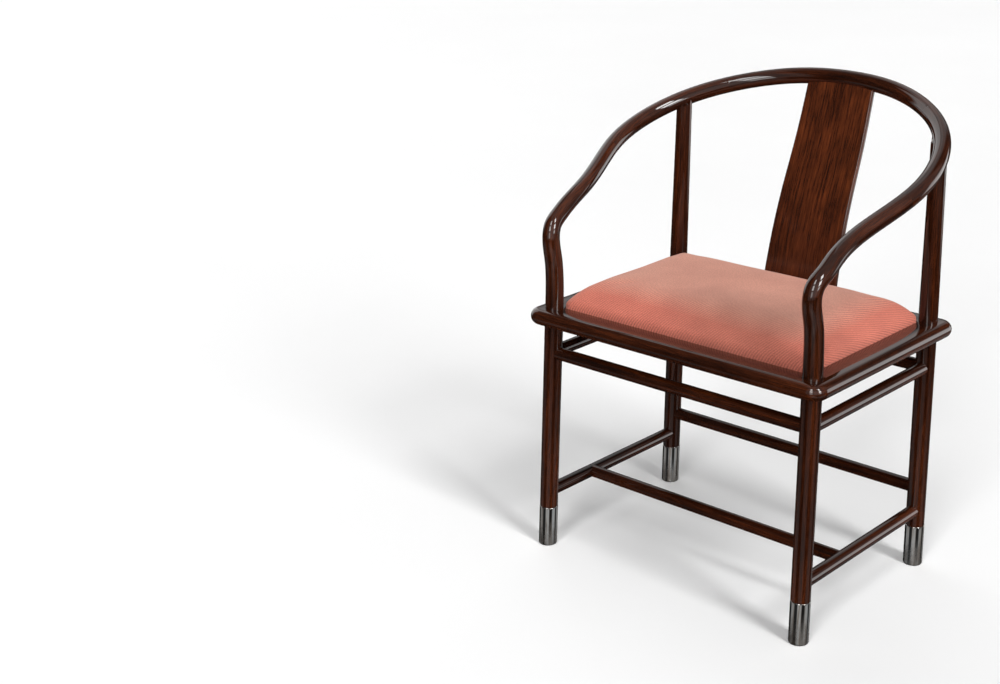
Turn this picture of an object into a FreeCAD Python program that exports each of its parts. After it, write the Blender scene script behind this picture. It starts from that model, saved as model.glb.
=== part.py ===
import FreeCAD, Part
import math
import os

os.makedirs("parts", exist_ok=True)

# A horseshoe back armchair in millimetres. Front is -Y and up is +Z, and left and right are as
# seen from the front. The origin is on the floor, under the middle of the whole width and depth.

# Seat frame
seat_top_height = 427.0
seat_frame_width = 558.0
seat_frame_depth = 411.0
seat_frame_thickness = 26.0
seat_member_width = 66.0
seat_corner_radius = 25.0
seat_nosing_flat = 0.6
rabbet_setback = 44.0
rabbet_depth = 10.0
rabbet_corner_radius = 11.0
mitre_key_length = 20.0
mitre_key_span = 36.0
mitre_key_thickness = 3.0
mitre_key_setback = 5.0
mitre_key_cover = 6.5

# Legs, round and splayed, and the fit of every wooden joint
leg_radius = 15.25
leg_inset_side = 33.7
leg_inset_front = 35.6
leg_splay_side = 7.2
leg_splay_front = 5.6
rear_post_top_radius = 13.2
joint_fit = 0.1
overrun = 5.0

# Horseshoe rail: places of its centreline, measured from the seat frame's edges and top
rail_radius = 13.4
rail_side_overhang = 0.5
rail_back_overhang = 76.5
rail_back_rise = 344.0
elbow_rise = 139.5
elbow_spread = 1.5
post_bow = 13.0
crest_half_length = 205.0
bend_length = 260.0
post_length = 141.0
elbow_taper_length = 85.0

# Points of the centreline from the middle of the back to the elbow. The first share is of the
# rail's half width, the second of its narrowing from there to the elbow, the third of the reach
# from elbow to back and the last of the rise from elbow to back.
rail_shares = (
    (0.0, 0.0, 1.0, 1.0),
    (0.313, 0.0, 0.983, 0.976),
    (0.601, 0.0, 0.907, 0.905),
    (0.828, 0.0, 0.783, 0.797),
    (0.970, 0.0, 0.620, 0.653),
    (1.0, 0.0, 0.450, 0.499),
    (1.0, 0.477, 0.301, 0.357),
    (1.0, 0.86, 0.1775, 0.2406),
    (1.0, 0.92, 0.0916, 0.1457),
    (1.0, 0.93, 0.0403, 0.0709),
)

# The elbow's share of the post's forward bow, then shares of the height from seat to elbow and of
# the bow at that height, from the top down
elbow_bow_share = 0.65
post_bow_shares = ((0.878, 1.0), (0.602, 0.45), (0.33, 0.09), (0.0, 0.0))

# Dowels and tenons hidden in the rail
rail_dowel_radius = 5.0
rail_dowel_length = 40.0
arm_dowel_reach_up = 12.0
arm_dowel_reach_down = 24.0
post_tenon_radius = 7.0
post_tenon_past_centre = 2.0

# Back splat
splat_bottom_width = 141.0
splat_top_width = 124.0
splat_thickness = 9.0
splat_foot_setback = 27.0
splat_top_forward = 4.5
splat_tongue_thickness = 6.0
splat_tongue_shoulder = 12.0
splat_top_tongue_past = 2.0
splat_bottom_tongue_depth = 14.0
splat_edge_round = 1.2

# Shares of the height and of the lean, from the splat's foot to the rail
splat_lean_shares = ((0.0, 0.0), (0.25, 0.175), (0.4826, 0.419), (0.7035, 0.702), (0.881, 0.889), (1.0, 1.0))

# Stretchers, with heights above the floor, and upper rails, with a drop below the seat frame
stretcher_radius = 10.75
cross_stretcher_radius = 10.5
upper_rail_drop = 51.4
side_stretcher_height = 97.9
back_stretcher_height = 138.0
cross_stretcher_forward = 60.8
tenon_radius = 5.0
tenon_depth = 9.5
cross_tenon_depth = 7.0

# Metal sabots and their screws
sabot_height = 71.0
sabot_proud = 0.4
sabot_wall = 1.2
sabot_floor = 3.0
sabot_rim_round = 0.4
sabot_foot_round = 1.5
screw_recess = 0.6
screw_head_radius = 4.0
screw_head_height = 2.0
screw_radius = 2.0
screw_length = 26.0
screw_slot_width = 0.9
screw_slot_depth = 0.9

# Drop-in seat
cushion_gap = 0.6
cushion_corner_ease = 2.5
seat_rest_gap = 0.3
layer_gap = 0.3
cover_thickness = 1.2
cover_flange_width = 44.0
board_thickness = 9.0
cushion_edge_width = 14.0
cushion_edge_rise = 29.0
cushion_crown = 21.0
cushion_drawn_in = 1.5
dust_cover_thickness = 0.6
dust_cover_gap = 3.0
dust_cover_seat = 0.1
staple_wire = 0.7
staple_width = 10.0
staple_leg_length = 7.0
staple_setback = 9.0
staple_fit = 0.05

# Angles over the rounded ends of the cushion, shares of its flat width between them, the least
# share of the rise that its end faces keep, and the counts of staples along its two sides
cushion_end_degrees = (0.0, 30.0, 55.0, 75.0)
cushion_station_shares = (1.0, 0.93, 0.7, 0.35)
cushion_least_rise_share = 0.12
width_staple_count = 5
depth_staple_count = 3

# Steps of the round skins
crest_steps = 10
bend_steps = 8
arm_steps = 20
post_steps = 9
splat_steps = 8

vec = FreeCAD.Vector
upward = vec(0, 0, 1)
sideways = vec(1, 0, 0)
left, right = -1, 1
front, rear = -1, 1
corners = ((left, front), (right, front), (left, rear), (right, rear))

# Worked out from the sizes above
rail_half_width = seat_frame_width / 2 + rail_side_overhang
rail_back_reach = seat_frame_depth / 2 + rail_back_overhang
splat_foot_reach = seat_frame_depth / 2 - splat_foot_setback
seat_centre_y = -(rail_back_reach + rail_radius - seat_frame_depth / 2) / 2
seat_bottom_height = seat_top_height - seat_frame_thickness
upper_rail_height = seat_bottom_height - upper_rail_drop
elbow_height = seat_top_height + elbow_rise
rail_back_height = seat_top_height + rail_back_rise
rabbet_floor_height = seat_top_height - rabbet_depth
rabbet_width = seat_frame_width - 2 * rabbet_setback
rabbet_length = seat_frame_depth - 2 * rabbet_setback
opening_width = seat_frame_width - 2 * seat_member_width
opening_depth = seat_frame_depth - 2 * seat_member_width
cushion_width = rabbet_width - 2 * cushion_gap
cushion_depth = rabbet_length - 2 * cushion_gap
cushion_corner_radius = rabbet_corner_radius + cushion_corner_ease
cover_bottom = rabbet_floor_height + seat_rest_gap
board_bottom = cover_bottom + cover_thickness + layer_gap
board_top = board_bottom + board_thickness
sabot_radius = leg_radius + sabot_proud
leg_foot_radius = sabot_radius - sabot_wall - joint_fit


def leg_point(side, end, height):
    """Point of a leg's straight axis, at a height above the floor."""
    drop_share = 1 - height / seat_top_height
    x = seat_frame_width / 2 - leg_inset_side + leg_splay_side * drop_share
    y = seat_frame_depth / 2 - leg_inset_front + leg_splay_front * drop_share
    return vec(side * x, seat_centre_y + end * y, height)


def leg_direction(side, end):
    """Unit vector up along a leg."""
    return leg_point(side, end, seat_top_height).sub(leg_point(side, end, 0)).normalize()


def rod(start, end, radius):
    """Round rod from one point to another."""
    along = end.sub(start)
    return Part.makeCylinder(radius, along.Length, start, along)


def block(width, depth, bottom, top):
    """Square-cornered block about the middle of the seat."""
    corner = vec(-width / 2, seat_centre_y - depth / 2, bottom)
    return Part.makeBox(width, depth, top - bottom, corner)


def rounded_block(width, depth, corner_radius, bottom, top):
    """Block about the middle of the seat with its four upright edges rounded."""
    solid = block(width, depth, bottom, top)
    uprights = [edge for edge in solid.Edges if edge.BoundBox.ZLength > (top - bottom) / 2]
    return solid.makeFillet(corner_radius, uprights)


def largest(shape):
    """The largest solid of a shape."""
    return max(shape.Solids, key=lambda solid: solid.Volume)


def mirrored(solid):
    """The same solid on the other side of the chair."""
    return solid.mirror(vec(0, 0, 0), sideways)


# Horseshoe rail

def rail_curve():
    """Centreline of the whole rail and both front posts, from the left seat corner to the right."""
    elbow = leg_point(right, front, elbow_height).add(vec(elbow_spread, -post_bow * elbow_bow_share, 0))
    back_y = seat_centre_y + rail_back_reach
    points = []
    for width_share, narrowing_share, reach_share, rise_share in rail_shares:
        x = rail_half_width * width_share - (rail_half_width - elbow.x) * narrowing_share
        y = elbow.y + (back_y - elbow.y) * reach_share
        z = elbow_height + (rail_back_height - elbow_height) * rise_share
        points.append(vec(x, y, z))
    points.append(elbow)
    for height_share, bow_share in post_bow_shares:
        height = seat_top_height + (elbow_height - seat_top_height) * height_share
        points.append(leg_point(right, front, height).sub(vec(0, post_bow * bow_share, 0)))
    points.append(leg_point(right, front, seat_top_height - seat_frame_thickness / 2))
    left_half = [vec(-point.x, point.y, point.z) for point in reversed(points[1:])]
    curve = Part.BSplineCurve()
    curve.interpolate(
        Points=left_half + points,
        InitialTangent=leg_direction(left, front),
        FinalTangent=leg_direction(right, front).negative(),
    )
    return curve


rail = rail_curve()
rail_middle = rail.parameter(vec(0, seat_centre_y + rail_back_reach, rail_back_height))
rail_half_length = rail.length(rail_middle, rail.LastParameter)
post_joint = rail_half_length - post_length
elbow_start = post_joint - elbow_taper_length


def rail_radius_at(distance):
    """Radius of the rail, which thickens evenly from the arm's end to the seat."""
    below = max(0, abs(distance) - elbow_start) / (rail_half_length - elbow_start)
    return rail_radius + (leg_radius - rail_radius) * below


def rail_place(distance):
    """Point and direction of the rail's centreline, at a distance from the middle of the back."""
    parameter = rail.parameterAtDistance(distance, rail_middle)
    return rail.value(parameter), rail.tangent(parameter)[0].normalize()


def rail_piece(start, end, steps, steady, growth=0):
    """Round skin along part of the rail, with its sections' start points kept in line."""
    sections = []
    for step in range(steps + 1):
        distance = start + (end - start) * step / steps
        centre, along = rail_place(distance)
        steady = steady.sub(along * steady.dot(along)).normalize()
        turn = FreeCAD.Rotation(steady, along.cross(steady), along, "ZXY")
        circle = Part.makeCircle(rail_radius_at(distance) + growth)
        circle.Placement = FreeCAD.Placement(centre, turn)
        sections.append(Part.Wire([circle]))
    return Part.makeLoft(sections, True, False)


def joint_dowel(distance, radius, reach_back, reach_on):
    """Dowel across a joint of the rail, from before the joint to past it."""
    centre, along = rail_place(distance)
    return rod(centre.sub(along * reach_back), centre.add(along * reach_on), radius)


def rail_dowel(distance, growth=0):
    """Dowel between two pieces of the horseshoe."""
    reach = rail_dowel_length / 2 + growth
    return joint_dowel(distance, rail_dowel_radius + growth, reach, reach)


def arm_dowel(growth=0):
    """Dowel between the right arm and the post below it."""
    reach_up = arm_dowel_reach_up + growth
    reach_down = arm_dowel_reach_down + growth
    return joint_dowel(post_joint, rail_dowel_radius + growth, reach_up, reach_down)


def rear_post_head():
    """Point of the right rear leg's axis that comes nearest to the rail's centreline."""
    foot = leg_point(right, rear, seat_top_height)
    axis = Part.makeLine(foot, leg_point(right, rear, rail_back_height))
    return axis.distToShape(rail.toShape())[1][0][0]


def rear_post_tenon(growth=0):
    """Turned tenon at the top of the right rear leg."""
    head = rear_post_head()
    direction = leg_direction(right, rear)
    start = head.sub(direction * 2 * rail_radius)
    return rod(start, head.add(direction * (post_tenon_past_centre + growth)), post_tenon_radius + growth)


def crest_rail():
    """Middle piece of the horseshoe, slotted for the splat and bored for two dowels."""
    solid = rail_piece(-crest_half_length, crest_half_length, crest_steps, upward)
    for distance in (-crest_half_length, crest_half_length):
        solid = solid.cut(rail_dowel(distance, joint_fit))
    return solid.cut(splat_top_tongue(joint_fit))


def back_bend():
    """Right bend of the horseshoe, with the mortise for the rear leg."""
    end = crest_half_length + bend_length
    solid = rail_piece(crest_half_length, end, bend_steps, upward)
    for distance in (crest_half_length, end):
        solid = solid.cut(rail_dowel(distance, joint_fit))
    return solid.cut(rear_post_tenon(joint_fit))


def arm():
    """Right arm, which turns down at the elbow to meet the front post."""
    start = crest_half_length + bend_length
    solid = rail_piece(start, post_joint, arm_steps, upward)
    return solid.cut(rail_dowel(start, joint_fit)).cut(arm_dowel(joint_fit))


# Legs and stretchers

stretchers = {
    "upper_rail_front": ((left, front), (right, front), upper_rail_height),
    "upper_rail_back": ((left, rear), (right, rear), upper_rail_height),
    "upper_rail_left": ((left, front), (left, rear), upper_rail_height),
    "upper_rail_right": ((right, front), (right, rear), upper_rail_height),
    "side_stretcher_left": ((left, front), (left, rear), side_stretcher_height),
    "side_stretcher_right": ((right, front), (right, rear), side_stretcher_height),
    "back_stretcher": ((left, rear), (right, rear), back_stretcher_height),
}


def stretcher_ends(name):
    """Points where a stretcher's axis meets the axes of its two legs."""
    start, end, height = stretchers[name]
    return leg_point(*start, height), leg_point(*end, height)


def cross_stretcher_ends():
    """Points where the cross stretcher's axis meets those of the side stretchers."""
    y = seat_centre_y - cross_stretcher_forward
    half_width = leg_point(right, front, side_stretcher_height).x
    return vec(-half_width, y, side_stretcher_height), vec(half_width, y, side_stretcher_height)


def turned_stretcher(ends, radius, hosts, setback):
    """Round bar between two axes, coped to its hosts, with a turned tenon at each end."""
    start, end = ends
    bar = rod(start, end, radius).cut(hosts)
    along = end.sub(start).normalize() * setback
    return bar.fuse(rod(start.add(along), end.sub(along), tenon_radius)).removeSplitter()


def mortises(ends, setback):
    """Holes for both tenons of a stretcher, as one solid that runs from tip to tip."""
    start, end = ends
    along = end.sub(start).normalize() * (setback - joint_fit)
    return rod(start.add(along), end.sub(along), tenon_radius + joint_fit)


def leg_host(side, end, low, high):
    """Stretch of a leg with the joint's fit round it."""
    return rod(leg_point(side, end, low), leg_point(side, end, high), leg_radius + joint_fit)


def leg_stretcher(name):
    """One of the seven round bars that run from leg to leg."""
    start, end, height = stretchers[name]
    reach = 2 * stretcher_radius
    hosts = [leg_host(*corner, height - reach, height + reach) for corner in (start, end)]
    setback = leg_radius - tenon_depth
    return turned_stretcher(stretcher_ends(name), stretcher_radius, hosts[0].fuse(hosts[1]), setback)


def cross_stretcher():
    """Low bar between the two side stretchers."""
    hosts = []
    for side in (left, right):
        start = leg_point(side, front, side_stretcher_height)
        end = leg_point(side, rear, side_stretcher_height)
        hosts.append(rod(start, end, stretcher_radius + joint_fit))
    setback = stretcher_radius - cross_tenon_depth
    ends = cross_stretcher_ends()
    return turned_stretcher(ends, cross_stretcher_radius, hosts[0].fuse(hosts[1]), setback)


def with_mortises(solid, side, end):
    """A leg with the holes for the stretchers that end in it."""
    for name, (start, finish, height) in stretchers.items():
        if (side, end) in (start, finish):
            solid = solid.cut(mortises(stretcher_ends(name), leg_radius - tenon_depth))
    return solid


def leg_foot(side, end):
    """Lower end of a leg, turned down to go into its sabot and bored for the screw."""
    bottom = leg_point(side, end, sabot_floor + joint_fit)
    return rod(bottom, leg_point(side, end, sabot_height + joint_fit), leg_foot_radius)


def screw_bore(side, end):
    """Hole for the sabot's screw in the leg."""
    start = leg_point(side, end, 0)
    reach = leg_direction(side, end) * (screw_recess + screw_length + joint_fit)
    return rod(start, start.add(reach), screw_radius + joint_fit)


def front_leg():
    """Right front leg, which goes on above the seat as the bowed post of the arm."""
    shoulder = leg_point(right, front, sabot_height + joint_fit)
    middle = leg_point(right, front, seat_top_height - seat_frame_thickness / 2)
    post = rail_piece(post_joint, rail_half_length, post_steps, sideways)
    solid = leg_foot(right, front).fuse([rod(shoulder, middle, leg_radius), post])
    solid = solid.cut(screw_bore(right, front)).cut(arm_dowel(joint_fit))
    return with_mortises(solid, right, front)


def rear_leg():
    """Right rear leg, straight to the rail, tapered above the seat, coped and tenoned at its top."""
    shoulder = leg_point(right, rear, sabot_height + joint_fit)
    seat = leg_point(right, rear, seat_top_height)
    head = rear_post_head()
    taper = Part.makeCone(leg_radius, rear_post_top_radius, head.sub(seat).Length, seat, head.sub(seat))
    bend_end = crest_half_length + bend_length
    taper = taper.cut(rail_piece(crest_half_length, bend_end, bend_steps, upward, joint_fit))
    solid = leg_foot(right, rear).fuse([rod(shoulder, seat, leg_radius), taper, rear_post_tenon()])
    return with_mortises(solid.cut(screw_bore(right, rear)), right, rear)


# Sabots and their screws

def floor_cut():
    """Everything below the floor under the chair."""
    reach = seat_frame_width + seat_frame_depth
    return block(reach, reach, -reach, 0)


def screw_form(side, end, growth):
    """Countersunk screw up the axis of a leg."""
    along = leg_direction(side, end)
    bottom = leg_point(side, end, 0).add(along * (screw_recess - growth))
    head_height = screw_head_height + growth
    head = Part.makeCone(screw_head_radius + growth, screw_radius + growth, head_height, bottom, along)
    return head.fuse(rod(bottom, bottom.add(along * (screw_length + growth)), screw_radius + growth))


def sabot_screw(side, end):
    """Screw with a driver slot in its head."""
    bottom = leg_point(side, end, 0)
    corner = vec(bottom.x - screw_head_radius, bottom.y - screw_slot_width / 2, 0)
    slot = Part.makeBox(2 * screw_head_radius, screw_slot_width, screw_recess + screw_slot_depth, corner)
    return largest(screw_form(side, end, 0).cut(slot))


def sabot(side, end):
    """Metal cup on a leg's foot, cut flat where it meets the floor."""
    along = leg_direction(side, end)
    rim = leg_point(side, end, sabot_height)
    cup = rod(leg_point(side, end, -overrun), rim, sabot_radius).cut(floor_cut())
    foot_edges = [edge for edge in cup.Edges if edge.BoundBox.ZMax < sabot_floor]
    rim_edges = [edge for edge in cup.Edges if edge.BoundBox.ZMin > sabot_height / 2]
    cup = cup.makeFillet(sabot_foot_round, foot_edges).makeFillet(sabot_rim_round, rim_edges)
    hollow = rod(leg_point(side, end, sabot_floor), rim.add(along * overrun), sabot_radius - sabot_wall)
    below = leg_point(side, end, -overrun)
    recess = rod(below, leg_point(side, end, screw_recess), screw_head_radius + joint_fit)
    return cup.cut(hollow).cut(recess).cut(screw_form(side, end, joint_fit))


# Seat frame

def seat_ring():
    """The four members as one ring: round nosing, opening, rabbet and leg holes."""
    size = (seat_frame_width, seat_frame_depth, seat_corner_radius)
    ring = rounded_block(*size, seat_bottom_height, seat_top_height)
    rims = [edge for edge in ring.Edges if edge.BoundBox.ZLength < seat_nosing_flat]
    ring = ring.makeFillet((seat_frame_thickness - seat_nosing_flat) / 2, rims)
    low, high = seat_bottom_height - overrun, seat_top_height + overrun
    ring = ring.cut(block(opening_width, opening_depth, low, high))
    size = (rabbet_width, rabbet_length, rabbet_corner_radius)
    ring = ring.cut(rounded_block(*size, rabbet_floor_height, high))
    for side, end in corners:
        ring = ring.cut(leg_host(side, end, low, high))
        ring = ring.cut(mitre_key(side, end, joint_fit))
    return ring.cut(splat_bottom_tongue(joint_fit))


def mitre_key(side, end, growth=0):
    """Loose tongue across a mitre, inside the leg."""
    length = mitre_key_length + 2 * growth
    span = mitre_key_span + 2 * growth
    thickness = mitre_key_thickness + 2 * growth
    key = Part.makeBox(length, span, thickness, vec(-length / 2, -span / 2, -thickness / 2))
    outward = vec(side, end, 0).normalize()
    inner_corner = vec(side * opening_width / 2, seat_centre_y + end * opening_depth / 2, 0)
    centre = inner_corner.add(outward * (mitre_key_setback + mitre_key_length / 2))
    centre.z = rabbet_floor_height - mitre_key_cover - mitre_key_thickness / 2
    key.Placement = FreeCAD.Placement(centre, FreeCAD.Rotation(sideways, outward))
    return key


def mitre_wedge(name):
    """Block that cuts one member out of the ring along its two mitres."""
    half_width = seat_frame_width / 2 + overrun
    half_depth = seat_frame_depth / 2 + overrun
    ridge = half_width - half_depth
    outlines = {
        "front": ((-half_width, -half_depth), (half_width, -half_depth), (ridge, 0), (-ridge, 0)),
        "back": ((half_width, half_depth), (-half_width, half_depth), (-ridge, 0), (ridge, 0)),
        "left": ((-half_width, half_depth), (-half_width, -half_depth), (-ridge, 0)),
        "right": ((half_width, -half_depth), (half_width, half_depth), (ridge, 0)),
    }
    points = [vec(x, seat_centre_y + y, seat_bottom_height - overrun) for x, y in outlines[name]]
    outline = Part.makePolygon(points + points[:1])
    return Part.Face(outline).extrude(upward * (seat_frame_thickness + 2 * overrun))


# Back splat

def splat_form(bottom_width, top_width, thickness, past_rail):
    """Board that follows the S-shaped lean, tapered in front view, up past the rail's centreline."""
    foot = vec(0, seat_centre_y + splat_foot_reach, seat_top_height)
    lean = rail_back_reach - splat_top_forward - splat_foot_reach
    height = rail_back_height - seat_top_height
    middle = Part.BSplineCurve()
    middle.interpolate([foot.add(vec(0, lean * y, height * z)) for z, y in splat_lean_shares])
    faces = ([], [])
    span = middle.LastParameter - middle.FirstParameter
    for step in range(splat_steps + 1):
        parameter = middle.FirstParameter + span * step / splat_steps
        point = middle.value(parameter)
        outward = middle.tangent(parameter)[0].normalize().cross(sideways) * (thickness / 2)
        faces[0].append(point.add(outward))
        faces[1].append(point.sub(outward))
    along = middle.tangent(middle.LastParameter)[0].normalize()
    for points in faces:
        points.append(points[-1].add(along * past_rail))
    curves = [Part.BSplineCurve(), Part.BSplineCurve()]
    for curve, points in zip(curves, faces):
        curve.interpolate(points)
    ends = [Part.makeLine(faces[0][index], faces[1][index]) for index in (0, -1)]
    profile = Part.Wire([ends[0], curves[0].toShape(), ends[1], curves[1].toShape()])
    board = Part.Face(profile).extrude(sideways * bottom_width)
    board.translate(sideways * (-bottom_width / 2))
    top = height + overrun + past_rail
    front_view = ((-bottom_width, 0), (bottom_width, 0), (top_width, height), (-top_width, height))
    outline = [vec(width / 2, 0, seat_top_height + z) for width, z in front_view]
    taper = Part.Face(Part.makePolygon(outline + outline[:1])).extrude(vec(0, rail_back_reach, 0))
    rest = Part.makeBox(top_width, rail_back_reach, top - height, vec(-top_width / 2, 0, rail_back_height))
    return board.common(taper.fuse(rest))


def splat_bottom_tongue(growth=0):
    """Tongue under the splat that goes into the back of the seat frame."""
    width = splat_bottom_width - 2 * splat_tongue_shoulder + 2 * growth
    thickness = splat_tongue_thickness + 2 * growth
    corner = vec(-width / 2, seat_centre_y + splat_foot_reach - thickness / 2, 0)
    corner.z = seat_top_height - splat_bottom_tongue_depth - growth
    return Part.makeBox(width, thickness, splat_bottom_tongue_depth + growth, corner)


def splat_top_tongue(growth=0):
    """Tongue at the top of the splat that goes up into the crest rail."""
    width = splat_top_width - 2 * splat_tongue_shoulder + 2 * growth
    thickness = splat_tongue_thickness + 2 * growth
    tongue = splat_form(width, width, thickness, splat_top_tongue_past + growth)
    low = rail_back_height - 2 * rail_radius
    return tongue.common(block(seat_frame_width, 2 * rail_back_reach, low, low + 2 * rail_back_height))


def back_splat():
    """Splat coped to the underside of the crest rail, with a tongue at each end."""
    board = splat_form(splat_bottom_width, splat_top_width, splat_thickness, splat_top_tongue_past)
    arrises = [edge for edge in board.Edges if edge.BoundBox.ZLength > rail_radius]
    board = board.makeFillet(splat_edge_round, arrises)
    board = board.cut(rail_piece(-crest_half_length, crest_half_length, crest_steps, upward, joint_fit))
    return largest(board).fuse([splat_top_tongue(), splat_bottom_tongue()])


# Drop-in seat

def cushion_stations(half_width):
    """Places across the seat where its section is drawn, closer together over the rounded ends."""
    rounded = [cushion_edge_width * (1 - math.cos(math.radians(angle))) for angle in cushion_end_degrees]
    places = [half_width - width for width in rounded]
    places += [(half_width - cushion_edge_width) * share for share in cushion_station_shares]
    return [-place for place in places] + [0] + places[::-1]


def cushion_section(x, inset, base):
    """Section of the cushion at x: flat below, upright sides, rounded edges and a crowned top."""
    half_width = cushion_width / 2 - inset
    from_end = half_width - abs(x)
    corner = cushion_corner_radius
    corner_share = max(0, 1 - from_end / corner)
    half_depth = cushion_depth / 2 - inset - corner * (1 - math.sqrt(1 - corner_share ** 2))
    half_depth -= cushion_drawn_in * (1 - (x / half_width) ** 2)
    end_share = max(0, 1 - from_end / cushion_edge_width)
    rise_share = max(cushion_least_rise_share, math.sqrt(1 - end_share ** 2))
    shoulder = seat_top_height
    edge_top = shoulder + cushion_edge_rise * rise_share - inset * rise_share
    crown = cushion_crown * (1 - (x / (half_width + cushion_edge_width)) ** 2)
    half_turn = math.radians(45)
    rounding = half_depth - cushion_edge_width * (1 - math.cos(half_turn))
    rounding_height = shoulder + (edge_top - shoulder) * math.sin(half_turn)
    flat = half_depth - cushion_edge_width

    outline = (
        ((-half_depth, base), (half_depth, base)),
        ((half_depth, base), (half_depth, shoulder)),
        ((half_depth, shoulder), (rounding, rounding_height), (flat, edge_top)),
        ((flat, edge_top), (0, edge_top + crown), (-flat, edge_top)),
        ((-flat, edge_top), (-rounding, rounding_height), (-half_depth, shoulder)),
        ((-half_depth, shoulder), (-half_depth, base)),
    )
    edges = []
    for stretch in outline:
        points = [vec(x, seat_centre_y + y, z) for y, z in stretch]
        edges.append(Part.makeLine(*points) if len(points) == 2 else Part.Arc(*points).toShape())
    return Part.Wire(edges)


def cushion_form(inset, base):
    """Crowned cushion, smaller all round by the inset, down to a flat base."""
    sections = [cushion_section(x, inset, base) for x in cushion_stations(cushion_width / 2 - inset)]
    return Part.makeLoft(sections, True, False)


def staple_places():
    """Middle and direction of each staple along the edge of the dust cover."""
    half_width = opening_width / 2 - dust_cover_gap - staple_setback
    half_depth = opening_depth / 2 - dust_cover_gap - staple_setback
    places = []
    for number in range(width_staple_count):
        x = half_width * (2 * (number + 1) / (width_staple_count + 1) - 1)
        places += [(x, -half_depth, True), (x, half_depth, True)]
    for number in range(depth_staple_count):
        y = half_depth * (2 * (number + 1) / (depth_staple_count + 1) - 1)
        places += [(-half_width, y, False), (half_width, y, False)]
    return places


def staple_pieces(growth):
    """Crown and two legs of every staple, as separate boxes in one list each."""
    crown_top = cover_bottom - dust_cover_seat - dust_cover_thickness
    wire = staple_wire + 2 * growth
    staples = []
    for x, y, along_width in staple_places():
        long_side, short_side = (staple_width, wire) if along_width else (wire, staple_width)
        corner = vec(x - long_side / 2, seat_centre_y + y - short_side / 2, crown_top - staple_wire)
        boxes = [Part.makeBox(long_side, short_side, staple_wire, corner)]
        for sign in (-1, 1):
            reach = sign * (staple_width - staple_wire) / 2
            leg_x, leg_y = (x + reach, y) if along_width else (x, y + reach)
            corner = vec(leg_x - wire / 2, seat_centre_y + leg_y - wire / 2, crown_top - staple_wire)
            boxes.append(Part.makeBox(wire, wire, staple_wire + staple_leg_length + growth, corner))
        staples.append(boxes)
    return staples


def cover_staples():
    """All the staples that hold the dust cover and the seat cover to the board."""
    return Part.makeCompound([boxes[0].fuse(boxes[1:]) for boxes in staple_pieces(0)])


def staple_holes():
    """Holes that the staples' legs make in what they go through."""
    return Part.makeCompound([leg for boxes in staple_pieces(staple_fit) for leg in boxes[1:]])


def seat_cover():
    """Cloth over the foam, folded under the board and open in the middle of its underside."""
    cavity = cushion_form(cover_thickness, cover_bottom + cover_thickness)
    opening = block(
        cushion_width - 2 * cover_flange_width,
        cushion_depth - 2 * cover_flange_width,
        cover_bottom - overrun,
        board_bottom,
    )
    return cushion_form(0, cover_bottom).cut(cavity).cut(opening).cut(staple_holes())


def seat_board():
    """Plywood board that carries the foam."""
    inset = cover_thickness + layer_gap
    width = cushion_width - 2 * inset
    depth = cushion_depth - 2 * (inset + cushion_drawn_in)
    board = rounded_block(width, depth, cushion_corner_radius, board_bottom, board_top)
    return board.cut(staple_holes())


def seat_foam():
    """Foam pad between board and cover."""
    foam = cushion_form(cover_thickness + layer_gap, board_bottom)
    return foam.cut(block(seat_frame_width, seat_frame_depth, seat_bottom_height, board_top + layer_gap))


def dust_cover():
    """Thin cloth that closes the seat from below, inside the frame's opening."""
    top = cover_bottom - dust_cover_seat
    width = opening_width - 2 * dust_cover_gap
    depth = opening_depth - 2 * dust_cover_gap
    return block(width, depth, top - dust_cover_thickness, top).cut(staple_holes())


# Nodes

nodes = {
    "crest_rail": crest_rail(),
    "back_splat": back_splat(),
    "cross_stretcher": cross_stretcher(),
    "seat_cover": seat_cover(),
    "seat_board": seat_board(),
    "seat_foam": seat_foam(),
    "dust_cover": dust_cover(),
    "cover_staples": cover_staples(),
}

pairs = {
    "{}_back_bend": back_bend(),
    "{}_arm": arm(),
    "front_{}_leg": front_leg(),
    "rear_{}_leg": rear_leg(),
}
for pattern, solid in pairs.items():
    nodes[pattern.format("right")] = solid
    nodes[pattern.format("left")] = mirrored(solid)

for name in stretchers:
    nodes[name] = leg_stretcher(name)
for name in ("side_stretcher_left", "side_stretcher_right"):
    nodes[name] = nodes[name].cut(mortises(cross_stretcher_ends(), stretcher_radius - cross_tenon_depth))

ring = seat_ring()
for name in ("front", "back", "left", "right"):
    nodes["seat_frame_" + name] = ring.common(mitre_wedge(name))

for side, end in corners:
    place = ("front" if end == front else "rear") + ("_left" if side == left else "_right")
    nodes[place + "_sabot"] = sabot(side, end)

nodes["sabot_screws"] = Part.makeCompound([sabot_screw(side, end) for side, end in corners])
nodes["mitre_keys"] = Part.makeCompound([mitre_key(side, end) for side, end in corners])
bend_end = crest_half_length + bend_length
dowels = [rail_dowel(distance) for distance in (-bend_end, -crest_half_length, crest_half_length, bend_end)]
nodes["rail_dowels"] = Part.makeCompound(dowels)
nodes["arm_dowels"] = Part.makeCompound([arm_dowel(), mirrored(arm_dowel())])

for name, shape in nodes.items():
    shape.exportStep("parts/" + name + ".step")
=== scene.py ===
"""Looks of a horseshoe back armchair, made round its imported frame.

Every piece is a surface worked out with numpy from the sizes below, in metres. The front of the
chair faces -Y and +X is to the right as seen from the front.
"""
import math

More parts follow.
